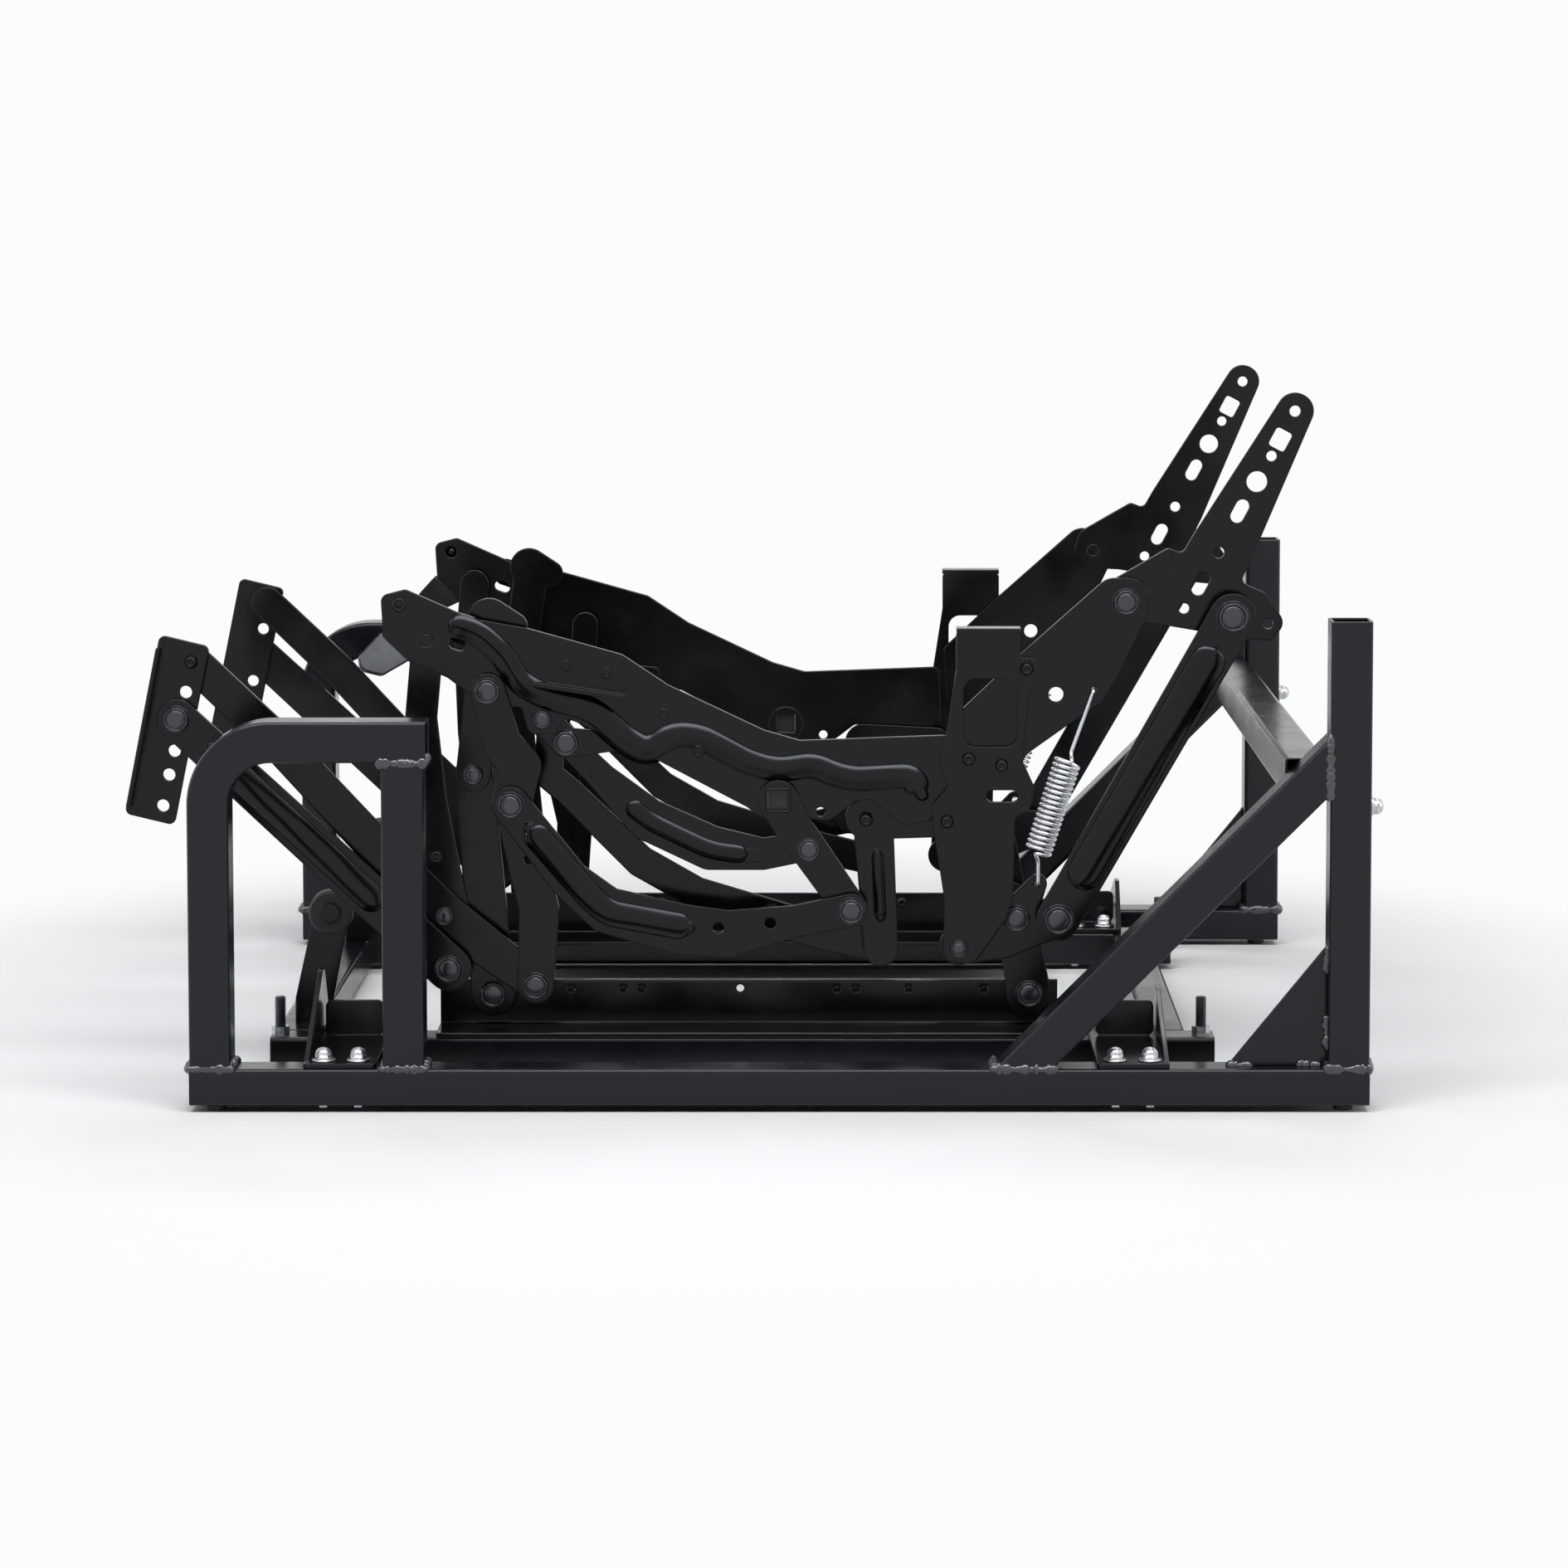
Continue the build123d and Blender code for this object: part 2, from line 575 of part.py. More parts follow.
with BuildPart() as seat_rail:
    with BuildSketch(layer_plane(SEAT)):
        outline(RAIL_OUTLINE, RAIL_RADII)
        holes(PIN_RADIUS, (-238.5, 297.0))
        holes(12, CRANK_PIVOT)
        holes(RIVET_RADIUS + RUNNING_FIT, UPRIGHT_RAIL_RIVET, STABILIZER_RIVET)
        holes(PIN_RADIUS + RUNNING_FIT, LEAF_PIVOT, CARRIER_PIVOT)
        holes(3, (24.5, 167.0))
        with Locations(Location((-202.5, 272.5), -20)):
            SlotOverall(11, 7, mode=Mode.SUBTRACT)
    extrude(amount=PLATE)
    raise_rib(SEAT, RIDGE_HALF_WIDTH, *RIDGE, rise=RIDGE_RISE)
    with BuildSketch(layer_plane(SEAT)):
        strap(LIP[0], PLATE / 2, LIP[1], PLATE / 2)
    extrude(amount=PLATE + LIP_DEPTH)
    root_start = layer_plane(SEAT).offset(PLATE / 2).from_local_coords(TAB_ROOT[0])
    root_end = layer_plane(SEAT).offset(PLATE / 2).from_local_coords(TAB_ROOT[1])
    root_line = (root_end - root_start).normalized()
    flat_out = Vector(0, -1, 0)
    tab_normal = flat_out.rotate(Axis((0, 0, 0), root_line), TAB_LEAN)
    with BuildSketch(Plane((root_start + root_end) * 0.5, x_dir=root_line, z_dir=tab_normal)):
        outline(TAB_OUTLINE, [1, 5, 5, 5, 1])
    extrude(amount=PLATE / 2, both=True)
    with BuildSketch(layer_plane(CARRIER)):
        strap(HANGER_RIVET, 12, FRONT_LIFT_TOP, 11)
        strap(*HANGER_LOBE)
        holes(PIN_RADIUS + RUNNING_FIT, FRONT_LIFT_TOP)
    extrude(amount=PLATE)
    for rivet in (HANGER_RIVET, (-185.0, 258.0)):
        with BuildSketch(layer_plane(CARRIER).offset(PLATE)):
            with Locations(rivet):
                Circle(RIVET_RADIUS + 2)
        extrude(amount=LAYER_PITCH * 2 - PLATE)
    pin(SWING_PIVOT, SEAT, SWING)
    for rivet in ((-134.0, 259.5), (-109.0, 254.5), (-73.5, 229.0), (-52.0, 205.5)):
        with BuildSketch(layer_plane(SEAT).offset(PLATE)):
            with Locations(rivet):
                Circle(RIVET_RADIUS)
        extrude(amount=0.7)
keep_pair(seat_rail, "seat_rail")

# Rear upright with its window and top flange
UPRIGHT_OUTLINE = [
    (109.0, 281.0),
    (109.0, 256.5),
    (99.5, 195.0),
    (105.0, 184.0),
    (94.5, 172.0),
    (94.5, 160.0),
    (102.0, 111.0),
    (101.0, 72.0),
    (121.0, 72.0),
    (140.0, 99.0),
    (145.0, 112.0),
    (146.0, 164.0),
    (155.0, 168.5),
    (158.5, 182.5),
    (150.5, 200.0),
    (155.0, 244.0),
    (160.0, 252.0),
    (160.0, 264.5),
    (149.0, 264.5),
    (149.0, 281.0),
]
UPRIGHT_RADII = [2, 3, 5, 4, 6, 6, 8, 8, 8, 8, 6, 4, 5, 6, 5, 4, 4, 5, 1.5, 2]
UPRIGHT_EAR = (153.0, 257.5)
with BuildPart() as rear_upright:
    with BuildSketch(layer_plane(SWING)):
        outline(UPRIGHT_OUTLINE, UPRIGHT_RADII)
        holes(PIN_RADIUS + RUNNING_FIT, BELLCRANK_PIVOT)
        holes(RIVET_RADIUS + RUNNING_FIT, UPRIGHT_RAIL_RIVET, (117.0, 201.0), (137.5, 197.0), UPRIGHT_EAR)
        with Locations((130.5, 230.0)):
            RectangleRounded(34, 43, 8, mode=Mode.SUBTRACT)
        with Locations((138.0, 177.5)):
            SlotOverall(20, 7.5, mode=Mode.SUBTRACT)
    extrude(amount=PLATE)
    with BuildSketch(layer_plane(SWING)):
        with Locations((129.0, 282.5)):
            Rectangle(40, PLATE)
    extrude(amount=14)
keep_pair(rear_upright, "rear_upright")

# Recline arm, which carries the back pivot
ARM_OUTLINE = [
    (110.0, 219.0),
    (110.0, 229.0),
    (149.0, 266.0),
    (203.0, 314.0),
    (229.0, 314.0),
    (229.0, 292.0),
    (211.5, 255.0),
    (200.0, 236.0),
    (181.5, 223.5),
    (153.5, 203.5),
    (146.0, 190.0),
    (112.0, 190.0),
]
ARM_RADII = [3, 4, 12, 12, 12, 12, 14, 8, 8, 8, 6, 4]
with BuildPart() as recline_arm:
    with BuildSketch(layer_plane(SEAT)):
        outline(ARM_OUTLINE, ARM_RADII)
        holes(4.7, (171.5, 241.0))
        holes(2.0, SPRING_EYE)
    extrude(amount=PLATE)
    pin(BACK_PIVOT, SEAT, SEAT, head_radius=8.5)
    for rivet in ((117.0, 201.0), (137.5, 197.0), UPRIGHT_EAR):
        pin(rivet, SEAT, SWING, RIVET_RADIUS, SMALL_HEAD_RADIUS)
    boss(layer_plane(LEVER), BACK_PIVOT, PIN_RADIUS, LAYER_PITCH)
keep_pair(recline_arm, "recline_arm")

# Stabilizer: hanger plate and strut below the seat rail
with BuildPart() as stabilizer:
    with BuildSketch(layer_plane(LEVER)):
        strap(STABILIZER_RIVET, 13, UPRIGHT_RAIL_RIVET, 11)
        strap((58.0, 150.0), 12.5, STAY_RIVET, 10.5)
        holes(3, (83.0, 163.5))
    extrude(amount=PLATE)
    pin(STABILIZER_RIVET, LEVER, SEAT, RIVET_RADIUS, SMALL_HEAD_RADIUS)
    pin(UPRIGHT_RAIL_RIVET, LEVER, SWING, RIVET_RADIUS, SMALL_HEAD_RADIUS)
    raise_rib(LEVER, 3, (60.0, 140.0), (62.0, 100.0))
keep_pair(stabilizer, "stabilizer")

# Long curved stay behind the links, riveted to the seat rail and the stabilizer
with BuildPart() as stay:
    with BuildSketch(layer_plane(STAY)):
        strap_chain(
            (STAY_TOP_RIVET, 9),
            ((-147.0, 188.0), 9),
            ((-134.0, 177.0), 9),
            ((-89.0, 133.0), 10),
            ((-54.0, 113.0), 10),
            ((-11.0, 99.0), 11),
            ((25.0, 88.0), 11),
            (STAY_RIVET, 10.5),
        )
    extrude(amount=PLATE)
    for rivet, outer in ((STAY_TOP_RIVET, SEAT), (STAY_RIVET, LEVER)):
        with BuildSketch(layer_plane(STAY).offset(PLATE)):
            with Locations(rivet):
                Circle(RIVET_RADIUS + 2)
        extrude(amount=(outer - STAY) * LAYER_PITCH - PLATE)
keep_pair(stay, "stay")

# Swing link: upper plate, lower link and their two rivets
with BuildPart() as swing_link:
    with BuildSketch(layer_plane(SWING)):
        strap_chain((SWING_PIVOT, 11), (SWING_RIVET, 12), ((-163.0, 196.0), 13), (SWING_PIN, 12.5))
        holes(PIN_RADIUS + RUNNING_FIT, SWING_PIVOT)
    extrude(amount=PLATE)
    with BuildSketch(layer_plane(SEAT)):
        strap_chain((SWING_RIVET, 6), (SWING_PIN, 11), ((-152.0, 105.0), 12.5), (LEVER_TAIL, 11.5))
        holes(3.3, (-158.5, 136.5))
        holes(PIN_RADIUS + OPEN_PIVOT_PLAY, LEVER_TAIL)
    extrude(amount=PLATE)
    with BuildSketch(layer_plane(SEAT).offset(PLATE)):
        with Locations(SWING_RIVET, SWING_PIN):
            Circle(5.5)
    extrude(amount=LAYER_PITCH - PLATE)
    pin(SWING_PIN, SWING, OUTER)
keep_pair(swing_link, "swing_link")

# Carrier link, which hangs from the front of the seat rail and holds both arms
with BuildPart() as carrier_link:
    with BuildSketch(layer_plane(CARRIER)):
        strap_chain(
            (CARRIER_PIVOT, 10),
            ((-226.0, 225.0), 10),
            ((-222.0, 170.0), 12),
            (LEVER_PIVOT, 15),
            (UPPER_ARM_FOOT, 12),
        )
        holes(3, (-217.0, 137.0))
    extrude(amount=PLATE)
    pin(LEVER_PIVOT, CARRIER, LEVER, head_radius=6)
    pin(UPPER_ARM_FOOT, CARRIER, SWING)
    boss(layer_plane(CARRIER), CARRIER_PIVOT, PIN_RADIUS + 3, 2 * LAYER_PITCH - HEAD_GAP)
    boss(layer_plane(CARRIER), CARRIER_PIVOT, PIN_RADIUS, 2 * LAYER_PITCH + PLATE)
keep_pair(carrier_link, "carrier_link")

# Lower arm, a long lever from the swing link's tail to the footrest bracket
with BuildPart() as lower_arm:
    with BuildSketch(layer_plane(LEVER)):
        strap_chain(
            (LEVER_TAIL, 11),
            (LEVER_PIVOT, 14),
            ((-262.0, 152.0), 12),
            ((-318.0, 213.0), 11.5),
            (LOWER_ARM_HEAD, 11),
        )
        holes(PIN_RADIUS + RUNNING_FIT, LEVER_PIVOT)
    extrude(amount=PLATE)
    pin(LEVER_TAIL, LEVER, SEAT)
    pin(LOWER_ARM_HEAD, LEVER, SEAT, head_radius=SMALL_HEAD_RADIUS, radius=RIVET_RADIUS)
keep_pair(lower_arm, "lower_arm")

# Upper arm, a ribbed strut parallel to the lower arm
with BuildPart() as upper_arm:
    with BuildSketch(layer_plane(SWING)):
        strap(UPPER_ARM_FOOT, 14, UPPER_ARM_HEAD, 12.5)
        holes(PIN_RADIUS + RUNNING_FIT, UPPER_ARM_FOOT)
        holes(PIN_RADIUS + OPEN_PIVOT_PLAY, UPPER_ARM_HEAD)
        holes(2.5, (-272.5, 128.0), (-254.0, 111.0))
    extrude(amount=PLATE)
    raise_rib(SWING, 6, (-290.0, 144.5), (-355.0, 205.0))
keep_pair(upper_arm, "upper_arm")

# Footrest bracket with its row of mounting holes and a bent front flange
BRACKET_CORNERS = [(-388.0, 278.5), (-357.0, 271.0), (-380.0, 158.5), (-411.0, 166.0)]
with BuildPart() as footrest_bracket:
    with BuildSketch(layer_plane(SEAT)):
        outline(BRACKET_CORNERS, 4)
        holes(3.9, (-372.0, 242.5), (-379.5, 205.5), (-383.0, 190.5), (-387.0, 171.0))
        holes(RIVET_RADIUS + RUNNING_FIT, LOWER_ARM_HEAD)
    extrude(amount=PLATE)
    with BuildSketch(layer_plane(SEAT)):
        strap((-388.0, 270.0), 1.3, (-407.5, 172.0), 1.3)
    extrude(amount=12)
    pin(UPPER_ARM_HEAD, SEAT, SWING)
keep_pair(footrest_bracket, "footrest_bracket")

# Crank on the drive shaft's square hole
with BuildPart() as crank:
    with BuildSketch(layer_plane(SWING)):
        strap_chain((CRANK_PIVOT, 12.5), ((6.0, 160.0), 11.5), (CRANK_MID_PIN, 11.5), (CRANK_PIN, 10.5))
        with Locations(CRANK_PIVOT):
            Rectangle(13, 13, mode=Mode.SUBTRACT)
        holes(PIN_RADIUS + RUNNING_FIT, CRANK_MID_PIN)
    extrude(amount=PLATE)
    with BuildSketch(layer_plane(SWING)):
        with Locations(CRANK_PIVOT):
            Circle(12 - RUNNING_FIT)
            Rectangle(13, 13, mode=Mode.SUBTRACT)
    extrude(amount=-LAYER_PITCH)
    pin(CRANK_PIN, SWING, OUTER)
keep_pair(crank, "crank")

# Drive link, a bent pressing from the crank to the swing link
with BuildPart() as drive_link:
    with BuildSketch(layer_plane(OUTER)):
        strap_chain(
            (SWING_PIN, 11.5),
            ((-132.0, 125.0), 12.5),
            ((-109.0, 106.0), 14.5),
            ((-62.0, 94.0), 16),
            ((-34.0, 91.0), 15),
            ((8.0, 99.0), 10),
            (CRANK_PIN, 10.5),
        )
        holes(PIN_RADIUS + RUNNING_FIT, SWING_PIN)
        holes(PIN_RADIUS + OPEN_PIVOT_PLAY, CRANK_PIN)
        holes(3.5, (-39.5, 95.0), (-7.0, 98.0))
    extrude(amount=PLATE)
    raise_rib(OUTER, 4.2, (-157.0, 158.0), (-119.0, 114.0), (-108.0, 105.0), (-58.0, 95.5))
keep_pair(drive_link, "drive_link")

# Curved link between the crank and the leaf plate
with BuildPart() as curved_link:
    with BuildSketch(layer_plane(CARRIER)):
        strap_chain(
            (LEAF_PIN, 8),
            ((-112.0, 187.0), 9),
            ((-84.0, 161.0), 13.5),
            ((-45.0, 143.0), 14),
            ((-12.0, 139.0), 10),
            (CRANK_MID_PIN, 9),
        )
    extrude(amount=PLATE)
    raise_rib_points = ((-116.0, 190.0), (-86.0, 160.0), (-45.0, 141.0), (-15.0, 138.0))
    with BuildSketch(layer_plane(CARRIER).offset(PLATE)):
        strap_chain(*[(point, 4) for point in raise_rib_points])
    extrude(amount=HEAD_GAP)
    pin(CRANK_MID_PIN, CARRIER, SWING, head_radius=7.5)
    pin(LEAF_PIN, CARRIER, LEVER)
keep_pair(curved_link, "curved_link")

# Leaf plate that guides the curved link below the seat rail
with BuildPart() as leaf_plate:
    with BuildSketch(layer_plane(LEVER)):
        strap_chain((LEAF_PIVOT, 9), (LEAF_PIN, 9.5), ((-96.0, 211.0), 5))
        holes(PIN_RADIUS + OPEN_PIVOT_PLAY, LEAF_PIN)
    extrude(amount=PLATE)
    pin(LEAF_PIVOT, LEVER, SEAT, head_radius=6.2)
keep_pair(leaf_plate, "leaf_plate")


def helix_point(frame, turn, length):
    """Point and heading of the coil after a number of turns."""
    angle = 2 * math.pi * turn
    rise = length / SPRING_TURNS
    point = frame.from_local_coords(
        Vector(
            SPRING_MEAN_RADIUS * math.cos(angle),
            SPRING_MEAN_RADIUS * math.sin(angle),
            rise * turn,
        )
    )
    heading = (
        frame.x_dir * (-math.sin(angle) * 2 * math.pi * SPRING_MEAN_RADIUS)
        + frame.y_dir * (math.cos(angle) * 2 * math.pi * SPRING_MEAN_RADIUS)
        + frame.z_dir * rise
    )
    return point, heading.normalized()


def biarc(start, start_heading, end, end_heading):
    """Adds two tangent arcs between two points with given headings."""
    span = end - start
    headings = start_heading + end_heading
    spread = 4 - headings.dot(headings)
    along = span.dot(headings)
    handle = (math.sqrt(along**2 + spread * span.dot(span)) - along) / spread
    first = start + start_heading * handle
    second = end - end_heading * handle
    middle = (first + second) * 0.5
    TangentArc(start, middle, tangent=start_heading)
    TangentArc(middle, end, tangent=(second - first).normalized())


# Balance spring between the recline arm and the bellcrank, one unbroken wire with two hooks
WIRE_RADIUS = SPRING_WIRE / 2
arm_face = FLANGE_FACE + 1 + SEAT * LAYER_PITCH + PLATE
crank_face = FLANGE_FACE + 1 + LEVER * LAYER_PITCH + PLATE
spring_y = -(arm_face + HEAD_GAP + WIRE_RADIUS)
coil_low = Vector(SPRING_BOTTOM[0], spring_y, SPRING_BOTTOM[1])
coil_high = Vector(SPRING_TOP[0], spring_y, SPRING_TOP[1])
coil_length = (coil_high - coil_low).length
coil_frame = Plane(coil_low, x_dir=(0, -1, 0), z_dir=coil_high - coil_low)
inwards = Vector(0, 1, 0)


def hook(eye, coil_end, plate_face):
    """Corner points of a hook: its tip, the start and end of its bend, and where its shank meets the coil."""
    shank = Vector(eye[0], spring_y, eye[1])
    heading = (coil_end - shank).normalized()
    bend_end = shank + heading * SPRING_BEND
    bend_start = shank + inwards * SPRING_BEND
    tip = Vector(eye[0], -plate_face + PLATE + SPRING_TIP, eye[1])
    shank_end = coil_end - heading * SPRING_LEAD
    return tip, bend_start, bend_end, shank_end, heading


def wire_section(point, across, heading):
    """Draws the section of the wire at a point, with a flat turned across."""
    with BuildSketch(Plane(point, x_dir=across, z_dir=heading)) as section:
        RegularPolygon(WIRE_RADIUS, 6)
    return section.sketch


coil_start, coil_start_heading = helix_point(coil_frame, 0, coil_length)
coil_stop, coil_stop_heading = helix_point(coil_frame, SPRING_TURNS, coil_length)
low_hook = hook(SPRING_TAB, coil_low, crank_face)
high_hook = hook(SPRING_EYE, coil_high, arm_face)
with BuildPart() as spring:
    with BuildLine() as coil_path:
        biarc(low_hook[3], low_hook[4], coil_start, coil_start_heading)
        for half in range(2 * SPRING_TURNS):
            start, start_heading = helix_point(coil_frame, half / 2, coil_length)
            end, end_heading = helix_point(coil_frame, (half + 1) / 2, coil_length)
            biarc(start, start_heading, end, end_heading)
        biarc(coil_stop, coil_stop_heading, high_hook[3], high_hook[4] * -1)
    sweep(wire_section(low_hook[3], (1, 0, 0), low_hook[4]), path=coil_path.wires()[0])
    for tip, bend_start, bend_end, shank_end, heading in (low_hook, high_hook):
        with BuildLine() as hook_path:
            Line(shank_end, bend_end)
            TangentArc(bend_end, bend_start, tangent=heading * -1)
            Line(bend_start, tip)
        sweep(wire_section(shank_end, (1, 0, 0), heading * -1), path=hook_path.wires()[0])
keep_pair(spring, "spring")

# Least gap between turns, measured on points along the wire
SAMPLES_PER_ARC = 8
samples = [
    tuple(edge.position_at(step / SAMPLES_PER_ARC))
    for edge in coil_path.wires()[0].edges()
    for step in range(SAMPLES_PER_ARC)
]
half_turn = 2 * SAMPLES_PER_ARC
least = min(
    math.dist(samples[i], samples[j])
    for i in range(len(samples))
    for j in range(i + half_turn, min(len(samples), i + 4 * half_turn))
)
print("spring's least gap to itself, mm:", round(least - SPRING_WIRE, 2))

# The finished pieces stand with the origin on the floor under the middle of the whole box
front_end = finished["footrest_bracket_left"].bounding_box().min.X
rear_end = finished["fasteners"].bounding_box().max.X
origin_x = (front_end + rear_end) / 2
print("origin lies at drawing X, mm:", round(origin_x, 4))
for name, piece in finished.items():
    placed = piece.moved(Location((-origin_x, 0, 0)))
    placed.label = name
    export_step(placed, f"parts/{name}.step")
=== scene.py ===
import math
import bmesh
import bpy
from mathutils import Matrix, Vector


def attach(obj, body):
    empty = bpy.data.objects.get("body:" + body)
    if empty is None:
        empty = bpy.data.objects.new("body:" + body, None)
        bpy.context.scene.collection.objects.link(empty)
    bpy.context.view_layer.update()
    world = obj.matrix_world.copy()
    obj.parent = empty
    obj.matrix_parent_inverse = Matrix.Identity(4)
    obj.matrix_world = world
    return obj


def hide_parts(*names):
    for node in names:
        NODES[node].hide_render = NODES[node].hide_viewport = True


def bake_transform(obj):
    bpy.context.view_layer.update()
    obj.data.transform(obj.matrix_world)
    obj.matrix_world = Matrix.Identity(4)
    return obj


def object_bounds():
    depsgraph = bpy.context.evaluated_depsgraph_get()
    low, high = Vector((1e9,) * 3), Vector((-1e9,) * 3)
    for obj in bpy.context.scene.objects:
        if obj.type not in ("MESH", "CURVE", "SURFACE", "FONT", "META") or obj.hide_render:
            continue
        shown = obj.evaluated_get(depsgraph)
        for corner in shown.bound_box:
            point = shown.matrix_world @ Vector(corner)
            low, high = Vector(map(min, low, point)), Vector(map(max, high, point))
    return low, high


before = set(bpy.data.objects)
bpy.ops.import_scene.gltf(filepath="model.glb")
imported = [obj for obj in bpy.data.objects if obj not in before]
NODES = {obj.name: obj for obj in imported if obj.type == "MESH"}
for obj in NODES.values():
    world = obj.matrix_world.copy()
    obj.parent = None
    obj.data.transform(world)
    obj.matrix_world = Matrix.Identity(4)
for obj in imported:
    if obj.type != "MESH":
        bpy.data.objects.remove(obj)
cad_low, cad_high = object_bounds()

# Sizes shared with the part's source, in millimetres, with the origin's shift along X
ORIGIN_SHIFT = 24.154
FLANGE_FACE = 163.0
FLANGE_GAP = 1.0
LAYER_PITCH = 4.0
PLATE = 3.0
HEAD_GAP = 0.3
HEAD_HEIGHT = 3.0
# The layers of plates outside the base angle's flange, from the inside out, above the stay's layer
LIFT, CARRIER, LEVER, SEAT, SWING, OUTER = range(1, 7)
MM = 0.001
SIDES = (("left", -1.0), ("right", 1.0))


def place(x, y, z):
    """A drawing point in millimetres as a point of the frame in metres."""
    return Vector(((x + ORIGIN_SHIFT) * MM, y * MM, z * MM))


def plate_face(layer):
    """Y of the outer face of a layer's plate, on the left side."""
    return -(FLANGE_FACE + FLANGE_GAP + layer * LAYER_PITCH + PLATE)


def head_face(layer):
    """Y of the outer face of a head that lies on a layer's plate, on the left side."""
    return plate_face(layer) - HEAD_GAP - HEAD_HEIGHT


# Colours and nodes

def linear(hex_colour):
    """An sRGB hex colour as linear RGBA."""
    channels = [int(hex_colour[i : i + 2], 16) / 255 for i in (1, 3, 5)]
    return tuple(c / 12.92 if c <= 0.04045 else ((c + 0.055) / 1.055) ** 2.4 for c in channels) + (1.0,)


def add(tree, kind, inputs=None, **settings):
    """Adds a node, sets its properties, and sets or links its inputs."""
    made = tree.nodes.new(kind)
    for name, value in settings.items():
        setattr(made, name, value)
    for name, value in (inputs or {}).items():
        if isinstance(value, bpy.types.NodeSocket):
            tree.links.new(value, made.inputs[name])
        else:
            made.inputs[name].default_value = value
    return made


def finish_material(name, slot_colour):
    """An empty node material, shown in the viewport in one plain colour, and its tree."""
    material = bpy.data.materials.new(name)
    material.use_nodes = True
    material.node_tree.nodes.clear()
    material.diffuse_color = linear(slot_colour)
    return material, material.node_tree


# Grains of the coats' patterns in a metre: broad clouding 40 mm across, rubbed marks of 7 mm, and the slow
# waviness of pressed and drawn steel over 77 mm. Orange peel, coarser than real to show, is 1.4 mm across.
CLOUDS = 25.0
MARKS = 140.0
WAVES = 13.0
PEEL = 700.0
WAVE_HEIGHT = 0.005
FINE_HEIGHT = 0.0001
BROKEN_EDGE = 0.0016
PEEL_STRENGTH = 0.03
COAT_ROUGHNESS = 0.14


def coated_steel(name, dark, light, rough, coat, ior, wavy=0.0):
    """Steel under black paint: an orange-peel skin, faint marks and broken edges that catch light."""
    material, tree = finish_material(name, dark)
    where = add(tree, "ShaderNodeTexCoord").outputs["Object"]
    cloud = add(tree, "ShaderNodeTexNoise", {"Vector": where, "Scale": CLOUDS, "Detail": 3.0})
    peel = add(tree, "ShaderNodeTexNoise", {"Vector": where, "Scale": PEEL, "Detail": 1.0})
    marks = add(
        tree,
        "ShaderNodeTexNoise",
        {"Vector": where, "Scale": MARKS, "Detail": 6.0, "Roughness": 0.7},
    )
    colour = add(tree, "ShaderNodeMix", {"Factor": cloud.outputs["Fac"]}, data_type="RGBA")
    colour.inputs[6].default_value = linear(dark)
    colour.inputs[7].default_value = linear(light)
    rubbed = add(
        tree,
        "ShaderNodeMath",
        {0: cloud.outputs["Fac"], 1: marks.outputs["Fac"]},
        operation="MULTIPLY",
    )
    roughness = add(
        tree,
        "ShaderNodeMapRange",
        {
            "Value": rubbed.outputs[0],
            "From Min": 0.1,
            "From Max": 0.45,
            "To Min": rough[0],
            "To Max": rough[1],
        },
    )
    wave = add(tree, "ShaderNodeTexNoise", {"Vector": where, "Scale": WAVES, "Detail": 1.0})
    broken_edge = add(tree, "ShaderNodeBevel", {"Radius": BROKEN_EDGE}, samples=8)
    waved = add(
        tree,
        "ShaderNodeBump",
        {
            "Height": wave.outputs["Fac"],
            "Strength": wavy,
            "Distance": WAVE_HEIGHT,
            "Normal": broken_edge.outputs[0],
        },
    )
    bump = add(
        tree,
        "ShaderNodeBump",
        {
            "Height": peel.outputs["Fac"],
            "Strength": PEEL_STRENGTH,
            "Distance": FINE_HEIGHT,
            "Normal": waved.outputs[0],
        },
    )
    shader = add(
        tree,
        "ShaderNodeBsdfPrincipled",
        {
            "Base Color": colour.outputs[2],
            "Roughness": roughness.outputs["Result"],
            "Normal": bump.outputs[0],
            "IOR": ior,
            "Specular Tint": linear("#E6ECF2"),
            "Coat Weight": coat,
            "Coat Roughness": COAT_ROUGHNESS,
        },
    )
    add(tree, "ShaderNodeOutputMaterial", {"Surface": shader.outputs[0]})
    return material


ZINC_HIGH_TONE = "#E6E8EA"
ZINC_ROUGH_SPREAD = 0.14


def bright_zinc(name, base, rough, grain):
    """Zinc-plated steel: a bright bluish metal, a little clouded, with that many clouds in a metre."""
    material, tree = finish_material(name, base)
    where = add(tree, "ShaderNodeTexCoord").outputs["Object"]
    cloud = add(tree, "ShaderNodeTexNoise", {"Vector": where, "Scale": grain, "Detail": 4.0})
    tone = add(tree, "ShaderNodeMix", {"Factor": cloud.outputs["Fac"]}, data_type="RGBA")
    tone.inputs[6].default_value = linear(base)
    tone.inputs[7].default_value = linear(ZINC_HIGH_TONE)
    roughness = add(
        tree,
        "ShaderNodeMapRange",
        {
            "Value": cloud.outputs["Fac"],
            "From Min": 0.3,
            "From Max": 0.7,
            "To Min": rough,
            "To Max": rough + ZINC_ROUGH_SPREAD,
        },
    )
    bump = add(
        tree,
        "ShaderNodeBump",
        {"Height": cloud.outputs["Fac"], "Strength": 0.1, "Distance": FINE_HEIGHT},
    )
    shader = add(
        tree,
        "ShaderNodeBsdfPrincipled",
        {
            "Base Color": tone.outputs[2],
            "Metallic": 1.0,
            "Roughness": roughness.outputs["Result"],
            "Normal": bump.outputs[0],
        },
    )
    add(tree, "ShaderNodeOutputMaterial", {"Surface": shader.outputs[0]})
    return material


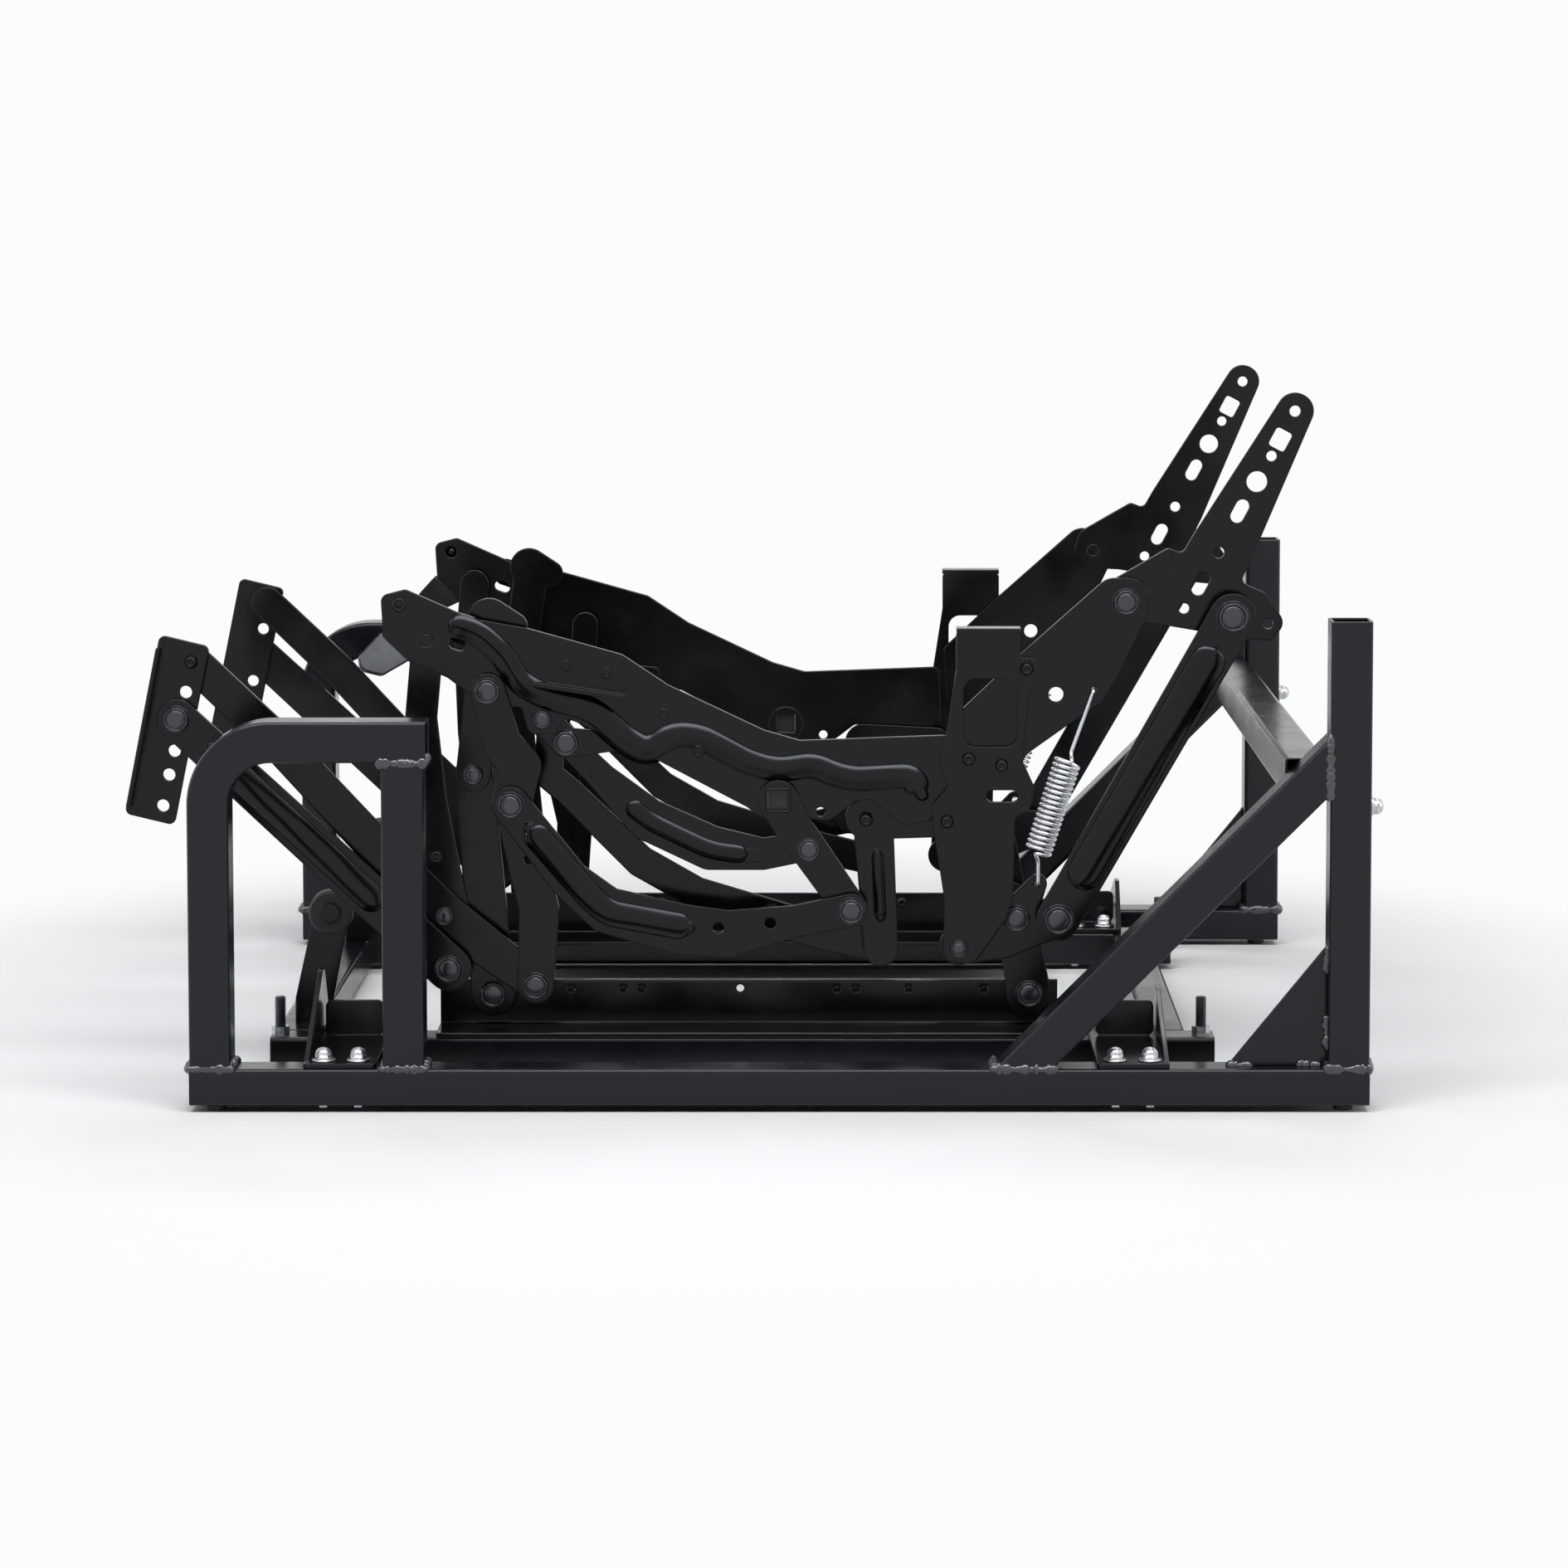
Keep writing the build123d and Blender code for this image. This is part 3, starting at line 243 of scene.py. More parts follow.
# Grains in a metre of moulded plastic: eroded texture drawn 0.7 mm across, to show, and clouds of 17 mm
SPARK_GRAINS = 1500.0
PLASTIC_CLOUDS = 60.0


def moulded_plastic(name, base):
    """Moulded plastic: soft black with a fine spark-eroded grain."""
    material, tree = finish_material(name, base)
    where = add(tree, "ShaderNodeTexCoord").outputs["Object"]
    grain = add(tree, "ShaderNodeTexNoise", {"Vector": where, "Scale": SPARK_GRAINS, "Detail": 2.0})
    cloud = add(tree, "ShaderNodeTexNoise", {"Vector": where, "Scale": PLASTIC_CLOUDS, "Detail": 2.0})
    roughness = add(
        tree,
        "ShaderNodeMapRange",
        {"Value": cloud.outputs["Fac"], "To Min": 0.42, "To Max": 0.62},
    )
    bump = add(
        tree,
        "ShaderNodeBump",
        {"Height": grain.outputs["Fac"], "Strength": 0.2, "Distance": FINE_HEIGHT},
    )
    shader = add(
        tree,
        "ShaderNodeBsdfPrincipled",
        {
            "Base Color": linear(base),
            "Roughness": roughness.outputs["Result"],
            "Normal": bump.outputs[0],
        },
    )
    add(tree, "ShaderNodeOutputMaterial", {"Surface": shader.outputs[0]})
    return material


# Black powder coat on drawn tube: an even charcoal with a soft sheen along each flat
POWDER_COATED_TUBE = coated_steel(
    "powder_coated_tube", "#06070A", "#0C0E12", rough=(0.18, 0.3), coat=0.05, ior=1.43, wavy=0.25
)
# Black dip coat on pressed plate: darker than the tube, with slow, uneven reflections
E_COATED_PLATE = coated_steel(
    "e_coated_pressed_plate", "#030404", "#08090A", rough=(0.15, 0.27), coat=0.05, ior=1.36, wavy=1.0
)
# Paint over weld metal: lumpy and glossier than the tube, so that each ripple has its own glint
WELD_METAL = coated_steel(
    "painted_weld_bead", "#0B0C0D", "#242628", rough=(0.1, 0.34), coat=0.7, ior=1.7, wavy=2.5
)
# Rivet heads: a shade paler than the plates, a painted sheen for the light on their faces, and glossier
PIVOT_STEEL = coated_steel(
    "pivot_head_painted_sheen", "#0D0F11", "#1A1D20", rough=(0.16, 0.28), coat=0.3, ior=1.7
)
# Black oxide on cut threads: a dull black that reflects little
BLACK_OXIDE = coated_steel(
    "black_oxide_thread", "#0A0A0B", "#121213", rough=(0.3, 0.42), coat=0.0, ior=1.38
)
# Bright zinc plate on bolts and nuts: cool grey with sharp white glints
ZINC_HARDWARE = bright_zinc("zinc_plated_hardware", "#8E9194", rough=0.24, grain=300.0)
# Bright zinc plate on drawn spring wire: paler and smoother than the bolts
SPRING_WIRE_FINISH = bright_zinc("zinc_plated_spring_wire", "#C2C5C8", rough=0.16, grain=500.0)
# Moulded nylon of the rollers: a soft black without a sharp highlight
NYLON = moulded_plastic("moulded_black_nylon", "#141517")
# Moulded feet: as the rollers, a little darker
FOOT_PLASTIC = moulded_plastic("moulded_foot_plastic", "#101012")

TUBES = (
    "side_rail",
    "front_bow",
    "front_post",
    "rear_post",
    "brace",
    "gussets",
    "inner_tubes",
    "cross_tubes",
)
# How the names of each finish's pieces start, where the rest are dip-coated plate
FINISHES = (
    (TUBES, POWDER_COATED_TUBE),
    (("roller_left", "roller_right"), NYLON),
    ("feet", FOOT_PLASTIC),
    ("fasteners", ZINC_HARDWARE),
    ("spring", SPRING_WIRE_FINISH),
)
for node_name, node in NODES.items():
    finish = next((coat for names, coat in FINISHES if node_name.startswith(names)), E_COATED_PLATE)
    node.data.materials.clear()
    node.data.materials.append(finish)


# Balance springs: a round wire on the solid's own route, between the two bodies that it hooks on.
# Sizes are in millimetres, and the places of its eye, its tab and its coil's ends are X and Z.
SPRING_TURNS = 18
SPRING_MEAN_RADIUS = 7.7
SPRING_WIRE = 2.2
SPRING_BEND = 2.4
SPRING_TIP = 1.5
SPRING_LEAD = 7.0
SPRING_EYE = (195.0, 244.0)
SPRING_TAB = (160.5, 121.0)
SPRING_TOP = (179.0, 199.5)
SPRING_BOTTOM = (160.5, 142.0)
STEPS_PER_TURN = 28
WIRE_SIDES = 12
HOOK_STEPS = 8
JOIN_STEPS = 12
JOIN_REACH = 0.4
HEADING_STEP = 0.001
SPRING_Y = plate_face(SEAT) - HEAD_GAP - SPRING_WIRE / 2


def hook_route(eye, coil_end, face):
    """Points from the hook's tip behind its plate round its bend, the end of its shank, and its heading."""
    shank = Vector((eye[0], SPRING_Y, eye[1]))
    heading = (coil_end - shank).normalized()
    inwards = Vector((0, 1, 0))
    centre = shank + inwards * SPRING_BEND + heading * SPRING_BEND
    route = [Vector((eye[0], face + PLATE + SPRING_TIP, eye[1]))]
    for step in range(HOOK_STEPS + 1):
        turn = math.pi / 2 * step / HOOK_STEPS
        backwards = heading * SPRING_BEND * math.cos(turn)
        outwards = inwards * SPRING_BEND * math.sin(turn)
        route.append(centre - backwards - outwards)
    return route, coil_end - heading * SPRING_LEAD, heading


def smooth_join(start, start_heading, end, end_heading, count):
    """Points of a cubic curve between two points with given headings, both ends left out."""
    reach = (end - start).length * JOIN_REACH
    inner = [start, start + start_heading * reach, end - end_heading * reach, end]
    route = []
    for step in range(1, count):
        t = step / count
        route.append(
            inner[0] * (1 - t) ** 3
            + inner[1] * 3 * t * (1 - t) ** 2
            + inner[2] * 3 * t * t * (1 - t)
            + inner[3] * t**3
        )
    return route


def spring_route():
    """The whole wire of the left spring, from the lower tip to the upper tip, in millimetres."""
    low = Vector((SPRING_BOTTOM[0], SPRING_Y, SPRING_BOTTOM[1]))
    high = Vector((SPRING_TOP[0], SPRING_Y, SPRING_TOP[1]))
    along = (high - low).normalized()
    out = Vector((0, -1, 0))
    side = along.cross(out)
    length = (high - low).length

    def coil_point(turn):
        angle = 2 * math.pi * turn
        return low + (out * math.cos(angle) + side * math.sin(angle)) * SPRING_MEAN_RADIUS + along * (
            length * turn / SPRING_TURNS
        )

    def coil_heading(turn):
        return (coil_point(turn + HEADING_STEP) - coil_point(turn - HEADING_STEP)).normalized()

    low_hook, low_shank_end, low_heading = hook_route(SPRING_TAB, low, plate_face(LEVER))
    high_hook, high_shank_end, high_heading = hook_route(SPRING_EYE, high, plate_face(SEAT))
    coil = [coil_point(step / STEPS_PER_TURN) for step in range(SPRING_TURNS * STEPS_PER_TURN + 1)]
    route = low_hook + [low_shank_end]
    route += smooth_join(low_shank_end, low_heading, coil[0], coil_heading(0), JOIN_STEPS)
    route += coil
    route += smooth_join(
        coil[-1], coil_heading(SPRING_TURNS), high_shank_end, -high_heading, JOIN_STEPS
    )
    route += [high_shank_end] + high_hook[::-1]
    return route


def round_wire(name, route, radius, sides):
    """A closed round wire mesh along a route in millimetres."""
    tangents = [
        (route[min(i + 1, len(route) - 1)] - route[max(i - 1, 0)]).normalized() for i in range(len(route))
    ]
    across = tangents[0].orthogonal().normalized()
    points, faces = [], []
    for i, (centre, tangent) in enumerate(zip(route, tangents)):
        across = (across - tangent * across.dot(tangent)).normalized()
        beside = tangent.cross(across)
        for side in range(sides):
            angle = 2 * math.pi * side / sides
            outwards = across * math.cos(angle) + beside * math.sin(angle)
            points.append(place(*(centre + outwards * radius)))
    for i in range(len(route) - 1):
        for side in range(sides):
            after = (side + 1) % sides
            here, beyond = i * sides, (i + 1) * sides
            faces.append((here + side, here + after, beyond + after, beyond + side))
    faces.append(tuple(range(sides))[::-1])
    faces.append(tuple((len(route) - 1) * sides + side for side in range(sides)))
    mesh = bpy.data.meshes.new(name)
    mesh.from_pydata(points, [], faces)
    mesh.shade_smooth()
    return mesh


def link_piece(name, mesh, material, mirrored=False):
    """Puts a mesh into the scene as a piece, mirrored across the middle if asked."""
    if mirrored:
        mesh = mesh.copy()
        mesh.transform(Matrix.Scale(-1, 4, (0, 1, 0)))
        mesh.flip_normals()
    mesh.name = name
    mesh.materials.clear()
    mesh.materials.append(material)
    piece = bpy.data.objects.new(name, mesh)
    bpy.context.scene.collection.objects.link(piece)
    return piece


left_wire = round_wire("balance_spring", spring_route(), SPRING_WIRE / 2, WIRE_SIDES)
for side_name, side in SIDES:
    spring = link_piece(f"balance_spring_{side_name}", left_wire, SPRING_WIRE_FINISH, mirrored=side > 0)
    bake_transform(spring)
    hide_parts(f"spring_{side_name}")


# Hardware that repeats, grown by node trees on seed points, with the sizes inside a tree in metres

def size_tree(name, sizes):
    """An empty geometry tree with named inputs for its sizes."""
    tree = bpy.data.node_groups.new(name, "GeometryNodeTree")
    tree.interface.new_socket("Geometry", in_out="INPUT", socket_type="NodeSocketGeometry")
    tree.interface.new_socket("Geometry", in_out="OUTPUT", socket_type="NodeSocketGeometry")
    for label, kind, value in sizes:
        tree.interface.new_socket(label, in_out="INPUT", socket_type=kind).default_value = value
    return tree, add(tree, "NodeGroupInput").outputs


NO_SHIFT = (0.0, 0.0, 0.0)
SAME_SIZE = (1.0, 1.0, 1.0)


def across_by(tree, share):
    """A scale that widens each copy by its seed point's own share and leaves its height as drawn."""
    width = add(tree, "GeometryNodeInputNamedAttribute", {"Name": share}, data_type="FLOAT").outputs[0]
    return add(tree, "ShaderNodeCombineXYZ", {"X": width, "Y": width, "Z": 1.0}).outputs[0]


def grow_parts(tree, points, parts, material, **placing):
    """Moves and joins the parts, sets a copy on every point, and ends the tree with their finish."""
    joined = add(tree, "GeometryNodeJoinGeometry")
    for part, shift, scale in parts:
        moved = add(tree, "GeometryNodeTransform", {"Geometry": part, "Translation": shift, "Scale": scale})
        tree.links.new(moved.outputs[0], joined.inputs[0])
    copies = add(
        tree,
        "GeometryNodeInstanceOnPoints",
        {"Points": points, "Instance": joined.outputs[0], **placing},
    )
    real = add(tree, "GeometryNodeRealizeInstances", {"Geometry": copies.outputs[0]})
    painted = add(tree, "GeometryNodeSetMaterial", {"Geometry": real.outputs[0], "Material": material})
    add(tree, "NodeGroupOutput", {"Geometry": painted.outputs[0]})


def seed_points(name, points, edges=(), **shares):
    """A mesh of bare points or routes, with one value per point for each named share."""
    mesh = bpy.data.meshes.new(name)
    mesh.from_pydata(points, edges, [])
    for label, values in shares.items():
        mesh.attributes.new(label, "FLOAT", "POINT").data.foreach_set("value", values)
    return mesh


def grown(name, tree, seeds, sizes):
    """Runs a tree on its seeds and returns what it grows as a plain mesh."""
    carrier = bpy.data.objects.new(name, seeds)
    bpy.context.scene.collection.objects.link(carrier)
    modifier = carrier.modifiers.new(name, "NODES")
    modifier.node_group = tree
    for item in tree.interface.items_tree:
        if item.in_out == "INPUT" and item.name in sizes:
            modifier[item.identifier] = sizes[item.name]
    view = bpy.context.evaluated_depsgraph_get()
    mesh = bpy.data.meshes.new_from_object(carrier.evaluated_get(view), depsgraph=view)
    carrier.modifiers.clear()
    bpy.data.objects.remove(carrier)
    mesh.shade_smooth()
    return mesh


RING_SIDES = 10


def turned_ring(tree, radius, section, steps=24):
    """A round ring about the vertical, swept from a round section."""
    path = add(tree, "GeometryNodeCurvePrimitiveCircle", {"Resolution": steps, "Radius": radius})
    profile = add(tree, "GeometryNodeCurvePrimitiveCircle", {"Resolution": RING_SIDES, "Radius": section})
    return add(
        tree,
        "GeometryNodeCurveToMesh",
        {"Curve": path.outputs[0], "Profile Curve": profile.outputs[0]},
    ).outputs[0]


# A pivot's formed head: a thin collar round its foot, a rolled lip and a low dome on its flat top. Its
# sizes across are shares of the head's radius, which each seed point carries.
HEAD_DRAFT = 1.34
COLLAR_RADIUS = 1.06
COLLAR_DROP = -0.88
COLLAR_HEIGHT = 0.009
LIP_RADIUS = 0.9
LIP_HEIGHT = 0.0055
DOME_RADIUS = 0.8
DOME_HEIGHT = 0.00035
HEAD_TREE, given = size_tree(
    "pivot_head",
    [
        ("Head Height", "NodeSocketFloat", HEAD_HEIGHT * MM),
        ("Collar Section", "NodeSocketFloat", 0.045),
        ("Lip Section", "NodeSocketFloat", 0.07),
        ("Facing", "NodeSocketVector", (math.pi / 2, 0.0, 0.0)),
    ],
)
collar = turned_ring(HEAD_TREE, COLLAR_RADIUS, given["Collar Section"], 36)
down = add(HEAD_TREE, "ShaderNodeMath", {0: given["Head Height"], 1: COLLAR_DROP}, operation="MULTIPLY")
at_foot = add(HEAD_TREE, "ShaderNodeCombineXYZ", {"Z": down.outputs[0]})
lip = turned_ring(HEAD_TREE, LIP_RADIUS, given["Lip Section"], 36)
dome = add(HEAD_TREE, "GeometryNodeMeshUVSphere", {"Segments": 32, "Rings": 14, "Radius": DOME_RADIUS})
grow_parts(
    HEAD_TREE,
    given["Geometry"],
    [
        (collar, at_foot.outputs[0], (1.0, 1.0, COLLAR_HEIGHT)),
        (lip, NO_SHIFT, (1.0, 1.0, LIP_HEIGHT)),
        (dome.outputs[0], NO_SHIFT, (1.0, 1.0, DOME_HEIGHT)),
    ],
    PIVOT_STEEL,
    Rotation=given["Facing"],
    Scale=across_by(HEAD_TREE, "head_radius"),
)

# A small hollow rivet: a rolled ring round an open bore
ROLL_RADIUS = 0.62
ROLL_HEIGHT = 0.0028
RIVET_TREE, given = size_tree(
    "hollow_rivet",
    [
        ("Roll Section", "NodeSocketFloat", 0.3),
        ("Facing", "NodeSocketVector", (math.pi / 2, 0.0, 0.0)),
    ],
)
roll = turned_ring(RIVET_TREE, ROLL_RADIUS, given["Roll Section"])
grow_parts(
    RIVET_TREE,
    given["Geometry"],
    [(roll, NO_SHIFT, (1.0, 1.0, ROLL_HEIGHT))],
    E_COATED_PLATE,
    Rotation=given["Facing"],
    Scale=across_by(RIVET_TREE, "head_radius"),
)

# Each body's pivot heads, as place, outermost layer and head radius, and its small rivets
PIVOT_HEADS = {
    "front_lift": [((-193.5, 189.5), CARRIER, 6.5)],
    "rear_lift": [((147.5, 99.0), LEVER, 8.5)],
    "bellcrank": [((111.0, 81.5), SWING, 6.0), ((173.0, 100.5), OUTER, 9.5)],
    "back": [((281.0, 290.5), OUTER, 10.0)],
    "seat": [((-183.5, 243.5), SWING, 8.5), ((215.0, 299.0), SEAT, 8.5)],
    "swing": [((-169.0, 172.5), OUTER, 8.5)],
    "carrier": [((-211.5, 100.5), LEVER, 6.0), ((-208.5, 68.5), SWING, 8.5)],
    "lower_arm": [((-154.5, 57.0), SEAT, 8.5)],
    "footrest": [((-377.5, 226.0), SWING, 8.5)],
    "crank": [((43.5, 106.0), OUTER, 8.5)],
    "curved": [((17.0, 144.0), SWING, 7.5), ((-135.0, 210.0), LEVER, 8.5)],
    "leaf": [((-149.5, 225.5), SEAT, 6.2)],
}
BASE_HEADS = [((-182.0, 49.5), LIFT, 8.5), ((155.5, 50.5), CARRIER, 8.5)]
SMALL_RIVETS = {
    "seat": [
        ((117.0, 201.0), SWING),
        ((137.5, 197.0), SWING),
        ((153.0, 257.5), SWING),
        ((53.0, 162.0), SEAT),
        ((103.5, 161.5), SWING),
    ],
    "lower_arm": [((-368.5, 261.5), SEAT)],
}
SMALL_RADIUS = 3.8


def put_hardware(name, body, mesh, material=None):
    """Puts a left-hand mesh and its mirror image on the two bodies of a pair, or both on the base."""
    for side_name, side in SIDES:
        piece = link_piece(f"{name}_{side_name}", mesh, material or E_COATED_PLATE, mirrored=side > 0)
        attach(piece, body if body == "base" else f"{body}_{side_name}")


for body, heads in (*PIVOT_HEADS.items(), ("base", BASE_HEADS)):
    places = [place(x, head_face(layer), z) for (x, z), layer, _ in heads]
    radii = [(radius - HEAD_DRAFT / 2) * MM for _, _, radius in heads]
    seeds = seed_points(f"{body}_head_seeds", places, head_radius=radii)
    heads_mesh = grown(f"{body}_heads", HEAD_TREE, seeds, {})
    put_hardware(f"pivot_heads_{body}", body, heads_mesh, material=PIVOT_STEEL)
for body, rivets in SMALL_RIVETS.items():
    places = [place(x, head_face(layer), z) for (x, z), layer in rivets]
    radii = [SMALL_RADIUS * MM] * len(places)
    seeds = seed_points(f"{body}_rivet_seeds", places, head_radius=radii)
    put_hardware(f"hollow_rivets_{body}", body, grown(f"{body}_rivets", RIVET_TREE, seeds, {}))

# Weld beads: rows of overlapping molten ripples of uneven size along each seam
WELD_TREE, given = size_tree(
    "weld_bead",
    [
        ("Ripple Spacing", "NodeSocketFloat", 0.0014),
        ("Least Ripple", "NodeSocketVector", (0.0013, 0.0012, 0.0016)),
        ("Most Ripple", "NodeSocketVector", (0.0040, 0.0030, 0.0042)),
        ("Seed", "NodeSocketInt", 7),
    ],
)
seam = add(WELD_TREE, "GeometryNodeMeshToCurve", {"Mesh": given["Geometry"]}).outputs[0]
stations = add(
    WELD_TREE,
    "GeometryNodeResampleCurve",
    {"Curve": seam, "Length": given["Ripple Spacing"]},
    mode="LENGTH",
).outputs[0]
uneven = add(
    WELD_TREE,
    "FunctionNodeRandomValue",
    {"Min": given["Least Ripple"], "Max": given["Most Ripple"], "Seed": given["Seed"]},
    data_type="FLOAT_VECTOR",
).outputs[0]
drop = add(WELD_TREE, "GeometryNodeMeshIcoSphere", {"Radius": 1.0, "Subdivisions": 2}).outputs[0]
grow_parts(WELD_TREE, stations, [(drop, NO_SHIFT, SAME_SIZE)], WELD_METAL, Scale=uneven)

# The seams of the left side, in millimetres: the outer edge of each joint, then the corner inside it
HALF_TUBE = 12.5
HALF_WIDTH = 290.0
RAIL_TOP = 26.5
BEAD_INSET = 1.3
OUTER_Y = -HALF_WIDTH + BEAD_INSET
BACK_Y = -HALF_WIDTH + 2 * HALF_TUBE - BEAD_INSET
BOW_X, FRONT_POST_X, REAR_POST_X = -344.0, -227.0, 344.0
BOW_UNDER = 212.5
BRACE_FOOT = (129.8, 165.2)
BRACE_HEAD = (192.8, 228.2)
POST_FACE_X = REAR_POST_X - HALF_TUBE
GUSSET_TIP_X, GUSSET_TOP_Z = 271.5, 100.5
GUSSET_Y = -279.2
# The short beads along the gusset's foot, by X, and up its edge at the post, by Z
GUSSET_FOOT_BEADS = ((GUSSET_TIP_X + 2.0, GUSSET_TIP_X + 13.0), (315.0, 327.0))
GUSSET_EDGE_BEADS = ((38.0, 56.0), (GUSSET_TOP_Z - 16.0, GUSSET_TOP_Z - 4.0))


def foot_seams(x, z):
    """The four seams round the foot of an upright tube."""
    low, high = x - HALF_TUBE, x + HALF_TUBE
    return [
        [(low, OUTER_Y, z), (high, OUTER_Y, z)],
        [(high, OUTER_Y, z), (high, BACK_Y, z)],
        [(low, BACK_Y, z), (high, BACK_Y, z)],
        [(low, OUTER_Y, z), (low, BACK_Y, z)],
    ]


SEAMS = [
    *foot_seams(BOW_X, RAIL_TOP),
    *foot_seams(FRONT_POST_X, RAIL_TOP),
    *foot_seams(FRONT_POST_X, BOW_UNDER),
    *foot_seams(REAR_POST_X, RAIL_TOP),
    [(BRACE_FOOT[0], OUTER_Y, RAIL_TOP), (BRACE_FOOT[1], OUTER_Y, RAIL_TOP)],
    [(BRACE_FOOT[0], OUTER_Y, RAIL_TOP), (BRACE_FOOT[0], BACK_Y, RAIL_TOP)],
    [(POST_FACE_X, OUTER_Y, BRACE_HEAD[0]), (POST_FACE_X, OUTER_Y, BRACE_HEAD[1])],
    [(POST_FACE_X, OUTER_Y, BRACE_HEAD[0]), (POST_FACE_X, BACK_Y, BRACE_HEAD[0])],
    *[[(low, GUSSET_Y, RAIL_TOP), (high, GUSSET_Y, RAIL_TOP)] for low, high in GUSSET_FOOT_BEADS],
    *[[(POST_FACE_X, GUSSET_Y, low), (POST_FACE_X, GUSSET_Y, high)] for low, high in GUSSET_EDGE_BEADS],
]
seam_points = [place(*end) for seam in SEAMS for end in seam]
seam_edges = [(2 * i, 2 * i + 1) for i in range(len(SEAMS))]
WELD_SEED = 11
weld_seeds = seed_points("weld_seams", seam_points, seam_edges)
weld_mesh = grown("weld_beads", WELD_TREE, weld_seeds, {"Seed": WELD_SEED})
put_hardware("weld_beads", "base", weld_mesh, material=WELD_METAL)

# Black threads on the four studs: a dark core with a ring for every turn of the thread
THREAD_RADIUS = 0.00302
THREAD_CREST = 0.0004
THREAD_LENGTH = 0.0186
THREAD_TREE, given = size_tree(
    "stud_thread",
    [
        ("Pitch", "NodeSocketVector", (0.0, 0.0, 0.00125)),
        ("Turns", "NodeSocketInt", 15),
        ("Core Radius", "NodeSocketFloat", THREAD_RADIUS),
        ("Core Length", "NodeSocketFloat", THREAD_LENGTH),
    ],
)
turns = add(
    THREAD_TREE,
    "GeometryNodeMeshLine",
    {"Count": given["Turns"], "Offset": given["Pitch"]},
    mode="OFFSET",
).outputs[0]
crest = turned_ring(THREAD_TREE, THREAD_RADIUS, THREAD_CREST)
thread = add(THREAD_TREE, "GeometryNodeInstanceOnPoints", {"Points": turns, "Instance": crest}).outputs[0]
core = add(
    THREAD_TREE,
    "GeometryNodeMeshCylinder",
    {"Vertices": 24, "Radius": given["Core Radius"], "Depth": given["Core Length"]},
).outputs[0]
grow_parts(
    THREAD_TREE,
    given["Geometry"],
    [(thread, NO_SHIFT, SAME_SIZE), (core, (0.0, 0.0, THREAD_LENGTH / 2), SAME_SIZE)],
    BLACK_OXIDE,
)
INNER_TUBE_Y = 182.5
NUT_TOP = 31.5
STUD_X = (-314.8, 263.2)
stud_seeds = seed_points("stud_seeds", [place(x, -INNER_TUBE_Y, NUT_TOP) for x in STUD_X])
thread_mesh = grown("stud_threads", THREAD_TREE, stud_seeds, {})
put_hardware("stud_threads", "base", thread_mesh, material=BLACK_OXIDE)

# Painted shade in the holes of the base angles' flanges: a dark disc sunk in each hole inside a rolled
# edge, so that the holes read dark
PLUG_EDGE_RADIUS = 0.0021
PLUG_EDGE_SECTION = 0.0003
SHADE_DISC_DEPTH = 0.0019
EDGE_DEPTH = 0.0006
SHADE_PLUG_TREE, given = size_tree(
    "painted_shade_plug_tree",
    [
        ("Plug Radius", "NodeSocketFloat", 0.0024),
        ("Plug Depth", "NodeSocketFloat", 0.0022),
        ("Facing", "NodeSocketVector", (math.pi / 2, 0.0, 0.0)),
    ],
)
shade_disc = add(
    SHADE_PLUG_TREE,
    "GeometryNodeMeshCylinder",
    {"Vertices": 24, "Radius": given["Plug Radius"], "Depth": given["Plug Depth"]},
).outputs[0]
edge = turned_ring(SHADE_PLUG_TREE, PLUG_EDGE_RADIUS, PLUG_EDGE_SECTION)
grow_parts(
    SHADE_PLUG_TREE,
    given["Geometry"],
    [(shade_disc, (0.0, 0.0, -SHADE_DISC_DEPTH), SAME_SIZE), (edge, (0.0, 0.0, -EDGE_DEPTH), SAME_SIZE)],
    BLACK_OXIDE,
    Rotation=given["Facing"],
)
# The holes that are filled with painted shade, by X along the flange, and their height
PLUGGED_X = (-133.5, -100.5, -89.0, 34.5, 46.5, 80.0, 127.5)
PLUGGED_Z = 51.5
plug_seeds = seed_points("plug_seeds", [place(x, -FLANGE_FACE, PLUGGED_Z) for x in PLUGGED_X])
plug_mesh = grown("painted_shade_plugs", SHADE_PLUG_TREE, plug_seeds, {})
put_hardware("painted_shade_plugs", "base", plug_mesh, material=BLACK_OXIDE)

# Zinc bolts with domed heads on a flange, through the brackets' outer and inner ends
FLANGE_ROUND = 0.0006
CROWN_SQUASH = 0.84
CROWN_RISE = 0.0035
BOLT_TREE, given = size_tree(
    "domed_bolt",
    [
        ("Flange Radius", "NodeSocketFloat", 0.0066),
        ("Flange Thickness", "NodeSocketFloat", 0.0013),
        ("Head Radius", "NodeSocketFloat", 0.005),
        ("Head Height", "NodeSocketFloat", 0.007),
        ("Facing", "NodeSocketVector", (0.0, 0.0, 0.0)),
    ],
)
disc = add(
    BOLT_TREE,
    "GeometryNodeMeshCylinder",
    {"Vertices": 36, "Radius": given["Flange Radius"], "Depth": given["Flange Thickness"]},
).outputs[0]
flange_edge = turned_ring(BOLT_TREE, given["Flange Radius"], FLANGE_ROUND, 36)
barrel = add(
    BOLT_TREE,
    "GeometryNodeMeshCylinder",
    {"Vertices": 36, "Radius": given["Head Radius"], "Depth": given["Head Height"]},
).outputs[0]
crown = add(
    BOLT_TREE,
    "GeometryNodeMeshUVSphere",
    {"Segments": 36, "Rings": 18, "Radius": given["Head Radius"]},
).outputs[0]
grow_parts(
    BOLT_TREE,
    given["Geometry"],
    [
        (disc, NO_SHIFT, SAME_SIZE),
        (flange_edge, NO_SHIFT, SAME_SIZE),
        (barrel, NO_SHIFT, SAME_SIZE),
        (crown, (0.0, 0.0, CROWN_RISE), (1.0, 1.0, CROWN_SQUASH)),
    ],
    ZINC_HARDWARE,
    Rotation=given["Facing"],
)
BRACKET_TOP = 29.5
FLANGE_HALF = 0.6
